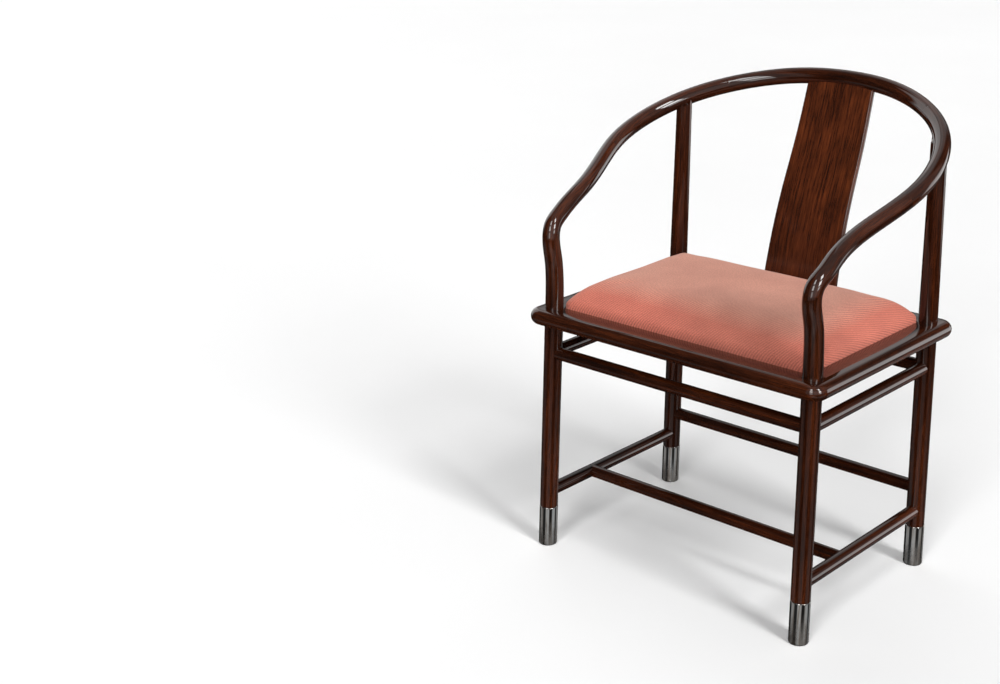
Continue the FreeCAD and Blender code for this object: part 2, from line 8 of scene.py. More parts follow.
import bmesh
import bpy
import numpy as np
from mathutils import Matrix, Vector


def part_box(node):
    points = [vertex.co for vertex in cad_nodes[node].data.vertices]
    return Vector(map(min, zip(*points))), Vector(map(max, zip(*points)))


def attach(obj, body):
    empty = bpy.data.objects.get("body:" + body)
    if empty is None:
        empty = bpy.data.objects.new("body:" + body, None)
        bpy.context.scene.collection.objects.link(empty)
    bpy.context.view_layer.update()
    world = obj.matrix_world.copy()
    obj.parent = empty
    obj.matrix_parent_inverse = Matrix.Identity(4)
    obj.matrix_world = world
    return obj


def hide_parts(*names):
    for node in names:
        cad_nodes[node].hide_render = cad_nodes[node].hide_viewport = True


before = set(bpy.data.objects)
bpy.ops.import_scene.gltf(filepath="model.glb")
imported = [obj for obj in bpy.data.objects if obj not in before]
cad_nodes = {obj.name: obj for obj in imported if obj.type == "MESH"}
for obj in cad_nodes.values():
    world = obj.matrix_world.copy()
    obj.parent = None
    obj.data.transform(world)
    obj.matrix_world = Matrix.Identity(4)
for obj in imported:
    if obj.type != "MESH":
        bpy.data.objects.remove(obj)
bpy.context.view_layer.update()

bl_info = {
    "name": "Horseshoe back armchair",
    "version": (1, 0, 0),
    "blender": (4, 5, 0),
    "location": "3D View > Sidebar > Armchair",
    "description": "Builds a round-rail armchair with a lift-out seat and metal sabots",
    "category": "Add Mesh",
}

LEFT, RIGHT, FRONT, REAR = -1, 1, -1, 1
CORNERS = {
    "front_left": (LEFT, FRONT), "front_right": (RIGHT, FRONT),
    "rear_left": (LEFT, REAR), "rear_right": (RIGHT, REAR),
}

# Centreline of the horseshoe rail from the middle of the back to the elbow: shares of the half
# width, of the narrowing from there to the elbow, of the reach and of the rise
RAIL_SHARES = np.array((
    (0.0, 0.0, 1.0, 1.0), (0.313, 0.0, 0.983, 0.976), (0.601, 0.0, 0.907, 0.905),
    (0.828, 0.0, 0.783, 0.797), (0.970, 0.0, 0.620, 0.653), (1.0, 0.0, 0.450, 0.499),
    (1.0, 0.477, 0.301, 0.357), (1.0, 0.86, 0.1775, 0.2406), (1.0, 0.92, 0.0916, 0.1457),
    (1.0, 0.93, 0.0403, 0.0709),
))
ELBOW_BOW_SHARE = 0.65
# Front post below the elbow: shares of its height above the seat and of its forward bow
POST_BOW_SHARES = np.array(((0.878, 1.0), (0.602, 0.45), (0.33, 0.09), (0.0, 0.0)))
# Back splat: shares of its height and of its lean
SPLAT_LEAN_SHARES = np.array((
    (0.0, 0.0), (0.25, 0.175), (0.4826, 0.419), (0.7035, 0.702), (0.881, 0.889), (1.0, 1.0),
))

# What stands round the chair, in degrees: turn from the camera, half its width, lowest and highest
# reach, width of its soft edge, and brightness
SURROUNDINGS = (
    (-25, 9, -8, 10, 2, 4.0), (-26, 9, 15, 34, 2, 10.0), (-28, 9, 40, 60, 2, 11.0),
    (35, 8, 2, 11, 2, 8.0), (35, 8, 16, 33, 2, 21.0), (36, 8, 42, 60, 2, 22.0),
    (7, 22, -10, 38, 6, 0.45), (0, 62, -12, 62, 6, 0.4), (-151, 24, -6, 48, 6, 1.7),
    (171, 11, 16, 72, 6, 0.8), (-169, 9, 50, 82, 4, 0.8), (150, 10, 15, 70, 8, 0.5),
    (110, 18, -13, 12, 5, 3.0), (85, 25, -5, 62, 8, 0.28), (0, 181, 62, 100, 10, 0.4),
    (20, 42, -50, -30, 6, 0.4), (-18, 22, -38, -19, 10, 0.40), (62, 20, -38, -20, 10, 0.34),
    (-100, 22, -38, -20, 10, 0.28), (128, 20, -38, -20, 10, 0.28),
)
# How the cushion's slopes flatten towards its top, from its ends and from its long sides, and how
# sharply two of them meet
END_FLATTENING, SIDE_FLATTENING, CUSHION_HIP = 5.1, 4.3, 3.6
# How much smaller the cushion is before it swells, and the most that its cloth then moves
CUSHION_INSET, CUSHION_SWELL = 0.0012, 0.0014
# Painted shadow of the right arm on the cloth, a browner patch: its middle and its half width and depth
PAINTED_SHADOW_PATCH = ((0.10, -0.15), (0.17, 0.12))
# Stretches of the rail, from the middle of its back, that the rear posts and the splat run into
REAR_POST_STRETCH, SPLAT_STRETCH = (0.2, 0.5), (-0.12, 0.12)
# How much thinner a rear post is where its axis passes the rail
POST_THINNING = 0.0003
# Hairline groove where two lengths of the rail meet
GROOVE_LENGTH, GROOVE_DEPTH = 0.0003, 0.00002
# Bore for a sabot's screw, up to its end in the leg
BORE_RADIUS, BORE_TOP = 0.0021, 0.0267
# Reach of the legs' cutters below and above the top of the seat frame
CUTTER_REACH = (-0.06, 0.03)
SHARP_EDGE = math.radians(35)
UPWARD, SIDEWAYS = (0, 0, 1), (1, 0, 0)


# Settings that a user changes

def amount(name, description, default, **more):
    """Setting that is a number."""
    return bpy.props.FloatProperty(name=name, description=description, default=default, **more)


def length(name, description, default):
    """Length setting in metres."""
    return amount(name, description, default, min=0, precision=5, unit="LENGTH")


def angle(name, description, degrees):
    """Angle setting."""
    return amount(name, description, math.radians(degrees), subtype="ANGLE")


def tint(name, description, default):
    """Colour setting."""
    return bpy.props.FloatVectorProperty(
        name=name, description=description, default=default, size=3, min=0, max=1, subtype="COLOR"
    )


class ArmchairSizes(bpy.types.PropertyGroup):
    """Sizes of the chair, as its frame has them."""

    seat_height: length("Seat frame height", "From the floor to the top of the seat frame", 0.427)
    frame_width: length("Seat frame width", "Across the seat frame", 0.558)
    frame_depth: length("Seat frame depth", "From the front to the back of the seat frame", 0.411)
    frame_thickness: length("Seat frame thickness", "Thickness of the frame's members", 0.026)
    member_width: length("Member width", "From the outer edge of a member to the opening", 0.066)
    corner_radius: length("Corner radius", "Radius of the frame's corners in plan", 0.025)
    nosing_flat: length("Nosing flat", "Upright flat between the two halves of the nosing", 0.0006)
    rabbet_setback: length("Rabbet setback", "From the outer edge to the seat's rabbet", 0.044)
    rabbet_depth: length("Rabbet depth", "Depth that the loose seat sits down in", 0.010)
    rabbet_radius: length("Rabbet corner radius", "Radius of the rabbet's corners in plan", 0.011)
    leg_radius: length("Leg radius", "Radius of the legs", 0.01525)
    leg_inset_side: length("Leg inset at the side", "From the frame's side to the leg's axis", 0.0337)
    leg_inset_front: length("Leg inset at the front", "From the frame's front to the leg's axis", 0.0356)
    leg_splay_side: length("Sideways splay", "How far a foot stands out to its side", 0.0072)
    leg_splay_front: length("Forward splay", "How far a foot stands out to the front or back", 0.0056)
    rear_post_radius: length("Rear post radius", "Radius of the rear posts at the rail", 0.0132)
    rail_radius: length("Rail radius", "Radius of the horseshoe rail", 0.0134)
    side_overhang: length("Side overhang", "From the frame's side to the rail's widest centre", 0.0005)
    back_overhang: length("Back overhang", "From the frame's back to the rail's centre", 0.0765)
    back_rise: length("Back rise", "From the frame's top to the highest centre of the rail", 0.344)
    elbow_rise: length("Elbow rise", "From the frame's top to the elbow's centre", 0.1395)
    elbow_spread: length("Elbow spread", "How far the elbow stands outside the leg's axis", 0.0015)
    post_bow: length("Post bow", "How far the front posts bow forward", 0.013)
    crest_half: length("Crest half length", "From the middle of the back to the first joint", 0.205)
    bend_length: length("Bend length", "Length of each back bend", 0.260)
    post_length: length("Post length", "Front post from the seat frame's middle to its joint", 0.141)
    elbow_taper: length("Elbow taper", "Length in which the rail thickens at the elbow", 0.085)
    splat_bottom: length("Splat width at the seat", "Width of the splat's foot", 0.141)
    splat_top: length("Splat width at the rail", "Width of the splat's top", 0.124)
    splat_thickness: length("Splat thickness", "Thickness of the splat", 0.009)
    splat_setback: length("Splat setback", "From the frame's back edge to the splat", 0.027)
    splat_forward: length("Splat forward", "From the rail's centre to the splat's top", 0.0045)
    splat_round: length("Splat arris", "Rounding of the splat's long edges", 0.003)
    stretcher_radius: length("Stretcher radius", "Radius of the stretchers", 0.01075)
    cross_radius: length("Cross stretcher radius", "Radius of the bar between the side stretchers", 0.0105)
    upper_drop: length("Upper rail drop", "From the frame's underside to the upper rails", 0.0514)
    side_height: length("Side stretcher height", "From the floor to the side stretchers", 0.0979)
    back_height: length("Back stretcher height", "From the floor to the back stretcher", 0.138)
    cross_forward: length("Cross stretcher forward", "From the seat's middle to the cross stretcher", 0.0608)
    sabot_height: length("Sabot height", "Height of the metal sabots", 0.071)
    sabot_proud: length("Sabot proud", "How far a sabot stands outside its leg", 0.0004)
    sabot_wall: length("Sabot wall", "Thickness of a sabot's wall", 0.0012)
    sabot_floor: length("Sabot floor", "Thickness of a sabot's floor", 0.003)
    cushion_gap: length("Cushion gap", "Between the cushion and its rabbet", 0.0006)
    cushion_height: length("Cushion height", "From the frame's top to the cushion's middle", 0.0488)
    cushion_edge: length("Cushion edge", "Height of the cushion's upright edge", 0.0118)
    cushion_slope: length("Cushion slope width", "From the cushion's edge to where its top is flat", 0.130)
    cushion_drawn_in: length("Cushion drawn in", "How far the long sides draw in at their middle", 0.0015)
    joint_gap: length("Joint gap", "Gap between glued pieces", 0.0001)


class ArmchairColours(bpy.types.PropertyGroup):
    """Colours of the chair's finishes."""

    wood_dark: tint("Dark lacquer", "Darkest streaks of the lacquered wood", (0.005, 0.0012, 0.0006))
    wood_light: tint("Light lacquer", "Lightest streaks of the lacquered wood", (0.068, 0.0155, 0.0040))
    splat_dark: tint("Dark splat grain", "Darkest grain of the splat", (0.028, 0.0065, 0.002))
    splat_light: tint("Light splat grain", "Lightest grain of the splat", (0.142, 0.034, 0.0088))
    cloth: tint("Seat cloth", "Coral of the seat's twill", (0.48, 0.130, 0.089))
    # Paler tan painted on the cushion's top as its sheen
    cloth_painted_sheen: tint("Painted sheen on cloth", "Paler tan painted on the seat's top as its sheen", (0.52, 0.225, 0.165))
    # Brown of the shadow that is painted on the cushion's cloth
    cloth_painted_shadow: tint("Painted shadow on cloth", "Brown of the shadow painted on the cloth", (0.17, 0.06, 0.038))
    nickel: tint("Nickel", "Metal of the sabots", (0.80, 0.78, 0.75))


class ArmchairStage(bpy.types.PropertyGroup):
    """Camera and lights."""

    azimuth: angle("Azimuth", "Turn of the camera round the chair from its front", 42.64)
    elevation: angle("Elevation", "Tilt of the camera down to the chair", 19.48)
    roll: angle("Roll", "Turn of the camera about its own view", -0.39)
    lens: amount("Lens", "Focal length in millimetres", 57.21, min=1)
    place: bpy.props.FloatVectorProperty(
        name="Camera place", description="Where the camera stands", default=(1.3648, -2.09555, 1.2426),
        size=3, subtype="TRANSLATION",
    )
    light_power: amount("Brightness", "Brightness of the lights and walls round the chair", 0.85, min=0)


def sizes():
    """Sizes in use."""
    return bpy.context.scene.armchair_sizes


def colours():
    """Colours in use."""
    return bpy.context.scene.armchair_colours


# Curves and surfaces

def unit(vectors):
    """Vectors of length one."""
    vectors = np.asarray(vectors, float)
    return vectors / np.linalg.norm(vectors, axis=-1, keepdims=True)


def spline(points, first_slope=None, last_slope=None, samples=4001):
    """Smooth line through points: cubics whose slope and curvature agree where they meet.

    The slopes at the points solve one banded set of equations. An end with no slope given runs on
    with no curvature.
    """
    points = np.asarray(points, float)
    span = np.linalg.norm(np.diff(points, axis=0), axis=1)
    secant = np.diff(points, axis=0) / span[:, None]
    count = len(points)
    inner = np.arange(1, count - 1)
    upright_reflection_streaks, target = np.zeros((count, count)), np.zeros((count, 3))
    upright_reflection_streaks[inner, inner - 1] = span[1:]
    upright_reflection_streaks[inner, inner] = 2 * (span[:-1] + span[1:])
    upright_reflection_streaks[inner, inner + 1] = span[:-1]
    target[inner] = 3 * (span[1:, None] * secant[:-1] + span[:-1, None] * secant[1:])
    for row, near, slope, run in ((0, 1, first_slope, secant[0]), (-1, -2, last_slope, secant[-1])):
        upright_reflection_streaks[row, row] = 1 if slope is not None else 2
        upright_reflection_streaks[row, near] = 0 if slope is not None else 1
        target[row] = slope if slope is not None else 3 * run
    slopes = np.linalg.solve(upright_reflection_streaks, target)
    starts = np.concatenate([[0], np.cumsum(span)])
    places = np.linspace(0, starts[-1], samples)
    piece = np.clip(np.searchsorted(starts, places, side="right") - 1, 0, count - 2)
    size = span[piece][:, None]
    share = (places - starts[piece])[:, None] / size
    rest = 1 - share
    return (
        points[piece] * (1 + 2 * share) * rest ** 2
        + slopes[piece] * size * share * rest ** 2
        + points[piece + 1] * (3 - 2 * share) * share ** 2
        - slopes[piece + 1] * size * rest * share ** 2
    )


def measured(points):
    """Distance of each point along its line from the first."""
    return np.concatenate([[0], np.cumsum(np.linalg.norm(np.diff(points, axis=0), axis=1))])


def at(places, known, values):
    """Values in between, column by column."""
    return np.stack([np.interp(places, known, column) for column in values.T], axis=-1)


def turns(around):
    """Angles evenly round a full turn."""
    return np.linspace(0, 2 * math.pi, around, endpoint=False)


def level_circle(around):
    """Points of a level circle of radius one."""
    return np.stack([np.cos(turns(around)), np.sin(turns(around)), np.zeros(around)], axis=-1)


def circle_of(along, steady, around):
    """Unit circles across some directions, started from the steady vector, one row to each."""
    along = np.atleast_2d(along)
    first = unit(steady - along * (along @ np.asarray(steady, float))[:, None])
    second = np.cross(along, first)
    turn = turns(around)[None, :, None]
    return np.cos(turn) * first[:, None] + np.sin(turn) * second[:, None]


def solid_places(radii, distances, around):
    """Places inside the uncut stick, for its grain: across by the turn's cosine and sine, and along."""
    turn = turns(around)
    radii, distances = (
        np.broadcast_to(np.reshape(values, (len(values), -1)), (len(values), around))
        for values in (radii, distances)
    )
    return np.stack([radii * np.cos(turn), radii * np.sin(turn), distances], axis=-1)


def rings(centres, along, radii, distances, steady, around=48):
    """Skin of a round piece: each row is a circle about its centre, square to its direction."""
    circle = circle_of(along, steady, around)
    surface = centres[:, None] + radii[:, None, None] * circle
    return surface, solid_places(radii, distances, around)


def leg_points(side, end, heights):
    """Points of a leg's straight axis at some heights above the floor."""
    s = sizes()
    heights = np.atleast_1d(np.asarray(heights, float))
    drop = 1 - heights / s.seat_height
    x = side * (s.frame_width / 2 - s.leg_inset_side + s.leg_splay_side * drop)
    y = seat_middle() + end * (s.frame_depth / 2 - s.leg_inset_front + s.leg_splay_front * drop)
    return np.stack([x, y, heights], axis=-1)


def leg_direction(side, end):
    """Unit vector up a leg."""
    low, high = leg_points(side, end, (0, sizes().seat_height))
    return unit(high - low)


def seat_middle():
    """Depth of the seat frame's middle, which sets the whole chair evenly about nought."""
    s = sizes()
    return -(s.back_overhang + s.rail_radius) / 2


def rail_line():
    """Centreline of the rail and both front posts, with its distances from the middle of the back."""
    s = sizes()
    elbow_height = s.seat_height + s.elbow_rise
    elbow = leg_points(RIGHT, FRONT, elbow_height)[0] + (s.elbow_spread, -s.post_bow * ELBOW_BOW_SHARE, 0)
    half_width = s.frame_width / 2 + s.side_overhang
    back = seat_middle() + s.frame_depth / 2 + s.back_overhang
    width, narrow, reach, rise = RAIL_SHARES.T
    x = half_width * width - (half_width - elbow[0]) * narrow
    y = elbow[1] + (back - elbow[1]) * reach
    z = elbow_height + (s.back_rise - s.elbow_rise) * rise
    heights = s.seat_height + s.elbow_rise * POST_BOW_SHARES[:, 0]
    post = leg_points(RIGHT, FRONT, heights)
    post[:, 1] -= s.post_bow * POST_BOW_SHARES[:, 1]
    foot = leg_points(RIGHT, FRONT, s.seat_height - s.frame_thickness / 2)
    half = np.concatenate([np.stack([x, y, z], axis=-1), elbow[None], post, foot])
    mirrored = half[:0:-1] * (-1, 1, 1)
    slopes = leg_direction(LEFT, FRONT), -leg_direction(RIGHT, FRONT)
    points = spline(np.concatenate([mirrored, half]), *slopes, samples=8001)
    distances = measured(points)
    return distances - distances[len(distances) // 2], points


def rail_rings(start, end, count, steady, around=64, groove=True):
    """Skin of part of the rail, with the hairline groove of a glued joint at its ends."""
    s = sizes()
    distances, points = rail_line()
    slopes = unit(np.gradient(points, distances, axis=0))
    places = np.linspace(start, end, count)
    if groove:
        step = math.copysign(GROOVE_LENGTH, end - start)
        places = np.concatenate([[start], np.linspace(start + step, end - step, count), [end]])
    post_joint = distances[-1] - s.post_length
    elbow_start = post_joint - s.elbow_taper
    below = np.maximum(0, np.abs(places) - elbow_start) / (distances[-1] - elbow_start)
    radii = s.rail_radius + (s.leg_radius - s.rail_radius) * below
    if groove:
        radii[[0, -1]] -= GROOVE_DEPTH
        places[[0, -1]] += np.array((1, -1)) * math.copysign(s.joint_gap / 8, end - start)
    along = unit(at(places, distances, slopes)) * math.copysign(1, end - start)
    return rings(at(places, distances, points), along, radii, places, steady, around)


def from_line(point, direction, radius):
    """Gap between points and a round bar about a line."""
    def gap(points):
        return np.linalg.norm(np.cross(points - point, direction), axis=-1) - radius
    return gap


def from_rail(low, high):
    """Gap between points and the rail, taken to the nearest of many places on its centreline."""
    distances, points = rail_line()
    near = points[(distances > low) & (distances < high)][::8]

    def gap(places):
        flat = places.reshape(-1, 3)
        square = (flat ** 2).sum(1)[:, None] + (near ** 2).sum(1) - 2 * flat @ near.T
        return np.sqrt(square.min(1)).reshape(places.shape[:-1]) - sizes().rail_radius - sizes().joint_gap
    return gap


def first_meeting(gap, line, low, high, samples=160):
    """Place along each line of a skin where its gap to a host is nothing, between low and high."""
    places = np.linspace(low, high, samples)
    gaps = np.stack([gap(line(place)) for place in places])
    index = np.argmax(np.sign(gaps[1:]) != np.sign(gaps[:-1]), axis=0)
    before, after = (np.take_along_axis(gaps, (index + more)[None], axis=0)[0] for more in (0, 1))
    return places[index] + before / (before - after) * (places[1] - places[0])


def bar(start, end, radii, gaps, steady, around=48, steps=30):
    """Skin of a round bar, coped to what it meets.

    Every line of the skin stops where the gap to its host is nothing, and rings of less and less
    of the radius, stopped in the same way, close the end. The radius changes evenly along the bar.
    """
    size = np.linalg.norm(end - start)
    along = (end - start) / size
    circle = circle_of(along, steady, around)[0]
    turn = turns(around)

    def place_on(share, places):
        radius = (radii[0] + (radii[1] - radii[0]) * places / size) * share
        surface = start + np.multiply.outer(places, along) + radius[..., None] * circle
        grain = np.stack([radius * np.cos(turn), radius * np.sin(turn), places + 0 * radius], axis=-1)
        return surface, grain

    def line(share):
        return lambda place: place_on(share, np.full(around, place))[0]

    ring_shares = (1.0, 0.97, 0.7, 0.4, 0.0)
    ends = []
    reach = 3 * max(radii)
    for gap, low, high in ((gaps[0], 0, reach), (gaps[1], size, size - reach)):
        if gap is None:
            ends.append([np.full(around, low)])
        else:
            ends.append([first_meeting(gap, line(share), high, low) for share in ring_shares])
    first, last = (
        [place_on(share, place[None]) for share, place in zip(ring_shares[1:], end[1:])] for end in ends
    )
    shares = np.linspace(0, 1, steps + 1)[:, None]
    skin = place_on(1.0, ends[0][0] + (ends[1][0] - ends[0][0]) * shares)
    return tuple(np.concatenate(parts) for parts in zip(*first[::-1], skin, *last))


# Meshes

def linked_object(name, places, faces):
    """Object of some points and faces, put in the scene."""
    mesh = bpy.data.meshes.new(name)
    mesh.from_pydata(np.reshape(places, (-1, 3)).tolist(), [], faces)
    piece = bpy.data.objects.new(name, mesh)
    bpy.context.scene.collection.objects.link(piece)
    return piece


def mesh_object(name, surface, grain, ends=("face", "face"), closed_rows=False):
    """Object from a grid of points, closed round its columns.

    Neighbouring rows and columns are joined by four-sided faces. An end is closed by one face, by
    rungs between opposite columns, or comes together in a pole.
    """
    rows, columns = surface.shape[:2]
    index = np.arange(rows * columns).reshape(rows, columns)
    beside = np.roll(index, -1, axis=1)
    low, low_beside, high, high_beside = index[:-1], beside[:-1], index[1:], beside[1:]
    if closed_rows:
        low, low_beside = index, beside
        high, high_beside = np.roll(index, -1, axis=0), np.roll(beside, -1, axis=0)
    faces = np.stack([low, low_beside, high_beside, high], axis=-1).reshape(-1, 4).tolist()
    if not closed_rows:
        for row, end, turned in ((index[0], ends[0], True), (index[-1], ends[1], False)):
            ring = row[::-1] if turned else row
            if end == "face":
                faces.append(ring.tolist())
            if end == "rungs":
                half = columns // 2
                near, far = ring[:half], ring[half:][::-1]
                faces += np.stack([near[:-1], near[1:], far[1:], far[:-1]], axis=-1).tolist()
    piece = linked_object(name, surface, faces)
    give_places(piece.data, "grain", grain)
    weld(piece.data)
    turn_outward(piece.data)
    shade(piece.data)
    return piece


def shade(mesh):
    """Smooth shading, broken at sharp edges."""
    mesh.shade_smooth()
    mesh.set_sharp_from_angle(angle=SHARP_EDGE)


def weld(mesh, distance=1e-7):
    """Points that lie on each other become one, which closes seams and poles."""
    work = bmesh.new()
    work.from_mesh(mesh)
    bmesh.ops.remove_doubles(work, verts=work.verts, dist=distance)
    work.to_mesh(mesh)
    work.free()


def enclosed_volume(mesh):
    """Volume inside a closed mesh: a sixth of the triple products of its triangles' corners."""
    mesh.calc_loop_triangles()
    corners = np.zeros(len(mesh.loop_triangles) * 3, np.int32)
    mesh.loop_triangles.foreach_get("vertices", corners)
    a, b, c = np.moveaxis(mesh_places(mesh)[corners.reshape(-1, 3)], 1, 0)
    return float(np.sum(a * np.cross(b, c)) / 6)


def turn_outward(mesh):
    """Faces point out of the piece."""
    if enclosed_volume(mesh) < 0:
        mesh.flip_normals()


def finish_piece(piece, material, body, slot, *replaced):
    """The piece gets its material, rides on its body and stands for the CAD nodes it replaces."""
    piece.data.materials.clear()
    piece.data.materials.append(material)
    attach(piece, body)
    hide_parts(*replaced)


def evaluated(piece):
    """The piece's mesh with its modifiers applied."""
    bpy.context.view_layer.update()
    graph = bpy.context.evaluated_depsgraph_get()
    return bpy.data.meshes.new_from_object(piece.evaluated_get(graph), depsgraph=graph)


def apply_modifiers(piece):
    """Modifiers become part of the mesh."""
    mesh = evaluated(piece)
    piece.modifiers.clear()
    piece.data = mesh


def mesh_places(mesh):
    """Points of a mesh as rows."""
    places = np.zeros(len(mesh.vertices) * 3)
    mesh.vertices.foreach_get("co", places)
    return places.reshape(-1, 3)


def set_places(mesh, places):
    """Moves the points of a mesh."""
    mesh.vertices.foreach_set("co", places.reshape(-1))
    mesh.update()


def give_places(mesh, name, values):
    """Gives each point of a mesh a vector, under a name."""
    known = mesh.attributes.get(name)
    if known is not None:
        mesh.attributes.remove(known)
    known = mesh.attributes.new(name, "FLOAT_VECTOR", "POINT")
    known.data.foreach_set("vector", np.asarray(values, np.float32).reshape(-1))


# Materials

def set_inputs(tree, made, inputs):
    """Gives a node's inputs their values or links."""
    for key, value in inputs.items():
        if isinstance(value, bpy.types.NodeSocket):
            tree.links.new(value, made.inputs[key])
        else:
            made.inputs[key].default_value = value


def node(tree, kind, inputs=None, **settings):
    """Node of a material, with its settings and its inputs' values or links."""
    made = tree.nodes.new("ShaderNode" + kind)
    for key, value in settings.items():
        setattr(made, key, value)
    set_inputs(tree, made, inputs or {})
    return made


def maths(tree, operation, *values):
    """Result of one step of arithmetic on values or links."""
    return node(tree, "Math", dict(enumerate(values)), operation=operation).outputs["Value"]


def parts_of(tree, vector):
    """The three numbers of a vector, by their letters."""
    return node(tree, "SeparateXYZ", {"Vector": vector}).outputs


def new_material(name, **values):
    """Material with a Principled shader, some of its sockets set."""
    material = bpy.data.materials.new(name)
    material.use_nodes = True
    shader = material.node_tree.nodes["Principled BSDF"]
    for key, value in values.items():
        shader.inputs[key.replace("_", " ").title().replace("Ior", "IOR")].default_value = value
    return material, material.node_tree, shader


def ramp(tree, factor, *stops):
    """Colour ramp from places and colours."""
    made = node(tree, "ValToRGB", {"Fac": factor})
    elements = made.color_ramp.elements
    while len(elements) < len(stops):
        elements.new(0.5)
    for element, (place, colour) in zip(elements, stops):
        element.position = place
        element.color = (*colour, 1)
    return made.outputs["Color"]


def band(tree, value, low, high, to_low, to_high):
    """Value moved from one range to another, held at its ends."""
    made = node(tree, "MapRange", {0: value, 1: low, 2: high, 3: to_low, 4: to_high})
    return made.outputs["Result"]


def stretched_noise(tree, places, stretch, **inputs):
    """Noise whose pattern is drawn out along an axis."""
    moved = node(tree, "Mapping", {"Vector": places, "Scale": stretch}).outputs["Vector"]
    inputs = {key.title(): value for key, value in inputs.items()}
    return node(tree, "TexNoise", {"Vector": moved, **inputs}).outputs["Fac"]


def mixed(tree, factor, first, second, blend="MIX"):
    """Two colours mixed."""
    first, second = (
        value if isinstance(value, bpy.types.NodeSocket) else (*value, 1) for value in (first, second)
    )
    inputs = {0: factor, 6: first, 7: second}
    return node(tree, "Mix", inputs, data_type="RGBA", blend_type=blend).outputs[2]


def blended(first, second, share):
    """Colour between two."""
    return tuple(a + (b - a) * share for a, b in zip(first, second))


def bump(tree, height, strength, distance):
    """Normal of a surface that a height roughens."""
    inputs = {"Strength": strength, "Distance": distance, "Height": height}
    return node(tree, "Bump", inputs).outputs["Normal"]


def lacquered_wood(
    name, dark, light, streaks=70, length_share=0.05, figure=0.5, gloss=0.04, cloud=20, painted_shade_reach=0.0
):
    """Glossy lacquer over streaked wood: noise drawn out along the grain, fine pores and slow waves.

    Painted shade darkens it from the start of the grain up to a length.
    """
    material, tree, shader = new_material(
        name, coat_weight=1.0, coat_roughness=gloss, coat_ior=1.5, specular_ior_level=0.0
    )
    grain = node(tree, "Attribute", attribute_name="grain").outputs["Vector"]

    def noise(stretch, **inputs):
        return stretched_noise(tree, grain, (1, 1, stretch), **inputs)

    broad = noise(length_share, scale=streaks, detail=6, roughness=0.66, distortion=0.4)
    slow = noise(0.35, scale=cloud, detail=4, roughness=0.55)
    pores = noise(0.06, scale=700, detail=2, roughness=0.6)
    wave = noise(0.2, scale=45, detail=2, roughness=0.5)
    colour = ramp(tree, broad, (0.3, dark), (0.5, blended(dark, light, 0.38)), (0.72, light))
    shade_colour = ramp(tree, slow, (0.35, (0.5, 0.45, 0.45)), (0.65, (1.25, 1.2, 1.2)))
    colour = mixed(tree, figure, colour, shade_colour, "MULTIPLY")
    speck = ramp(tree, pores, (0.38, (0.2, 0.15, 0.15)), (0.55, (1.15, 1.15, 1.15)))
    colour = mixed(tree, 0.55, colour, speck, "MULTIPLY")
    # Painted shade: darker from the start of the grain, which on the splat is its foot at the seat
    if painted_shade_reach:
        along = parts_of(tree, grain)["Z"]
        colour = mixed(tree, band(tree, along, 0, painted_shade_reach, 0.6, 0), colour, dark)
    set_inputs(tree, shader, {
        "Base Color": colour,
        "Roughness": band(tree, slow, 0.3, 0.7, 0.3, 0.42),
        "Coat Normal": bump(tree, wave, 0.04, 0.0003),
        "Normal": bump(tree, pores, 0.25, 0.00015),
    })
    return material


def polished_nickel():
    """Polished metal, scuffed and cloudy towards the floor, with fine upright scratches and painted upright
    reflection streaks.
    """
    nickel = colours().nickel
    material, tree, shader = new_material("polished nickel", metallic=1.0)
    places = node(tree, "TexCoord").outputs["Object"]

    def noise(stretch, **inputs):
        return stretched_noise(tree, places, (1, 1, stretch), **inputs)

    cloud = noise(0.5, scale=130, detail=6, roughness=0.7)
    scratch = noise(0.04, scale=900, detail=3, roughness=0.6)
    upright_reflection_streaks = noise(0.05, scale=230, detail=3, roughness=0.6, distortion=0.3)
    low = band(tree, parts_of(tree, places)["Z"], 0.008, 0.06, 1.0, 0.12)
    scuffed = maths(tree, "MULTIPLY", cloud, low)
    colour = ramp(tree, scuffed, (0.15, nickel), (0.62, blended(nickel, (0.16, 0.12, 0.09), 0.7)))
    # Painted reflections: upright streaks of brown and blue in the metal's colour
    painted_reflection_tint = ramp(
        tree, upright_reflection_streaks, (0.36, (0.5, 0.43, 0.38)), (0.5, (0.9, 0.9, 0.9)), (0.64, (1.0, 1.08, 1.16))
    )
    set_inputs(tree, shader, {
        "Base Color": mixed(tree, 0.8, colour, painted_reflection_tint, "MULTIPLY"),
        "Roughness": band(tree, scuffed, 0.1, 0.6, 0.06, 0.4),
        "Normal": bump(tree, scratch, 0.04, 0.0002),
    })
    return material


def plain_material(name, colour, roughness, metallic=0.0, scale=300, spread=0.35, stretch=(1, 1, 1)):
    """Finish with small changes of tone and a fine uneven surface."""
    material, tree, shader = new_material(name, metallic=metallic)
    places = node(tree, "TexCoord").outputs["Object"]
    tone = stretched_noise(tree, places, stretch, scale=scale, detail=4, roughness=0.6)
    dark = tuple(value * (1 - spread) for value in colour)
    set_inputs(tree, shader, {
        "Base Color": ramp(tree, tone, (0.3, dark), (0.7, colour)),
        "Roughness": band(tree, tone, 0.3, 0.7, roughness, roughness + 0.12),
        "Normal": bump(tree, tone, 0.2, 0.0002),
    })
    return material


def twill_ribs(tree, places, uneven):
    """Slanting ribs of the twill, and their relief with the finer threads that cross them."""
    rib_period, thread_period, lean, unevenness, thread_share = 0.0050, 0.0035, -0.45, 0.0012, 0.2
    across = parts_of(tree, places)

    def waves(value, period):
        return maths(tree, "SINE", maths(tree, "MULTIPLY", value, 2 * math.pi / period))

    slant = maths(tree, "MULTIPLY_ADD", across["Y"], lean, across["X"])
    ribs = waves(maths(tree, "MULTIPLY_ADD", uneven, unevenness, slant), rib_period)
    threads = waves(across["X"], thread_period)
    return ribs, maths(tree, "MULTIPLY_ADD", threads, thread_share, ribs)


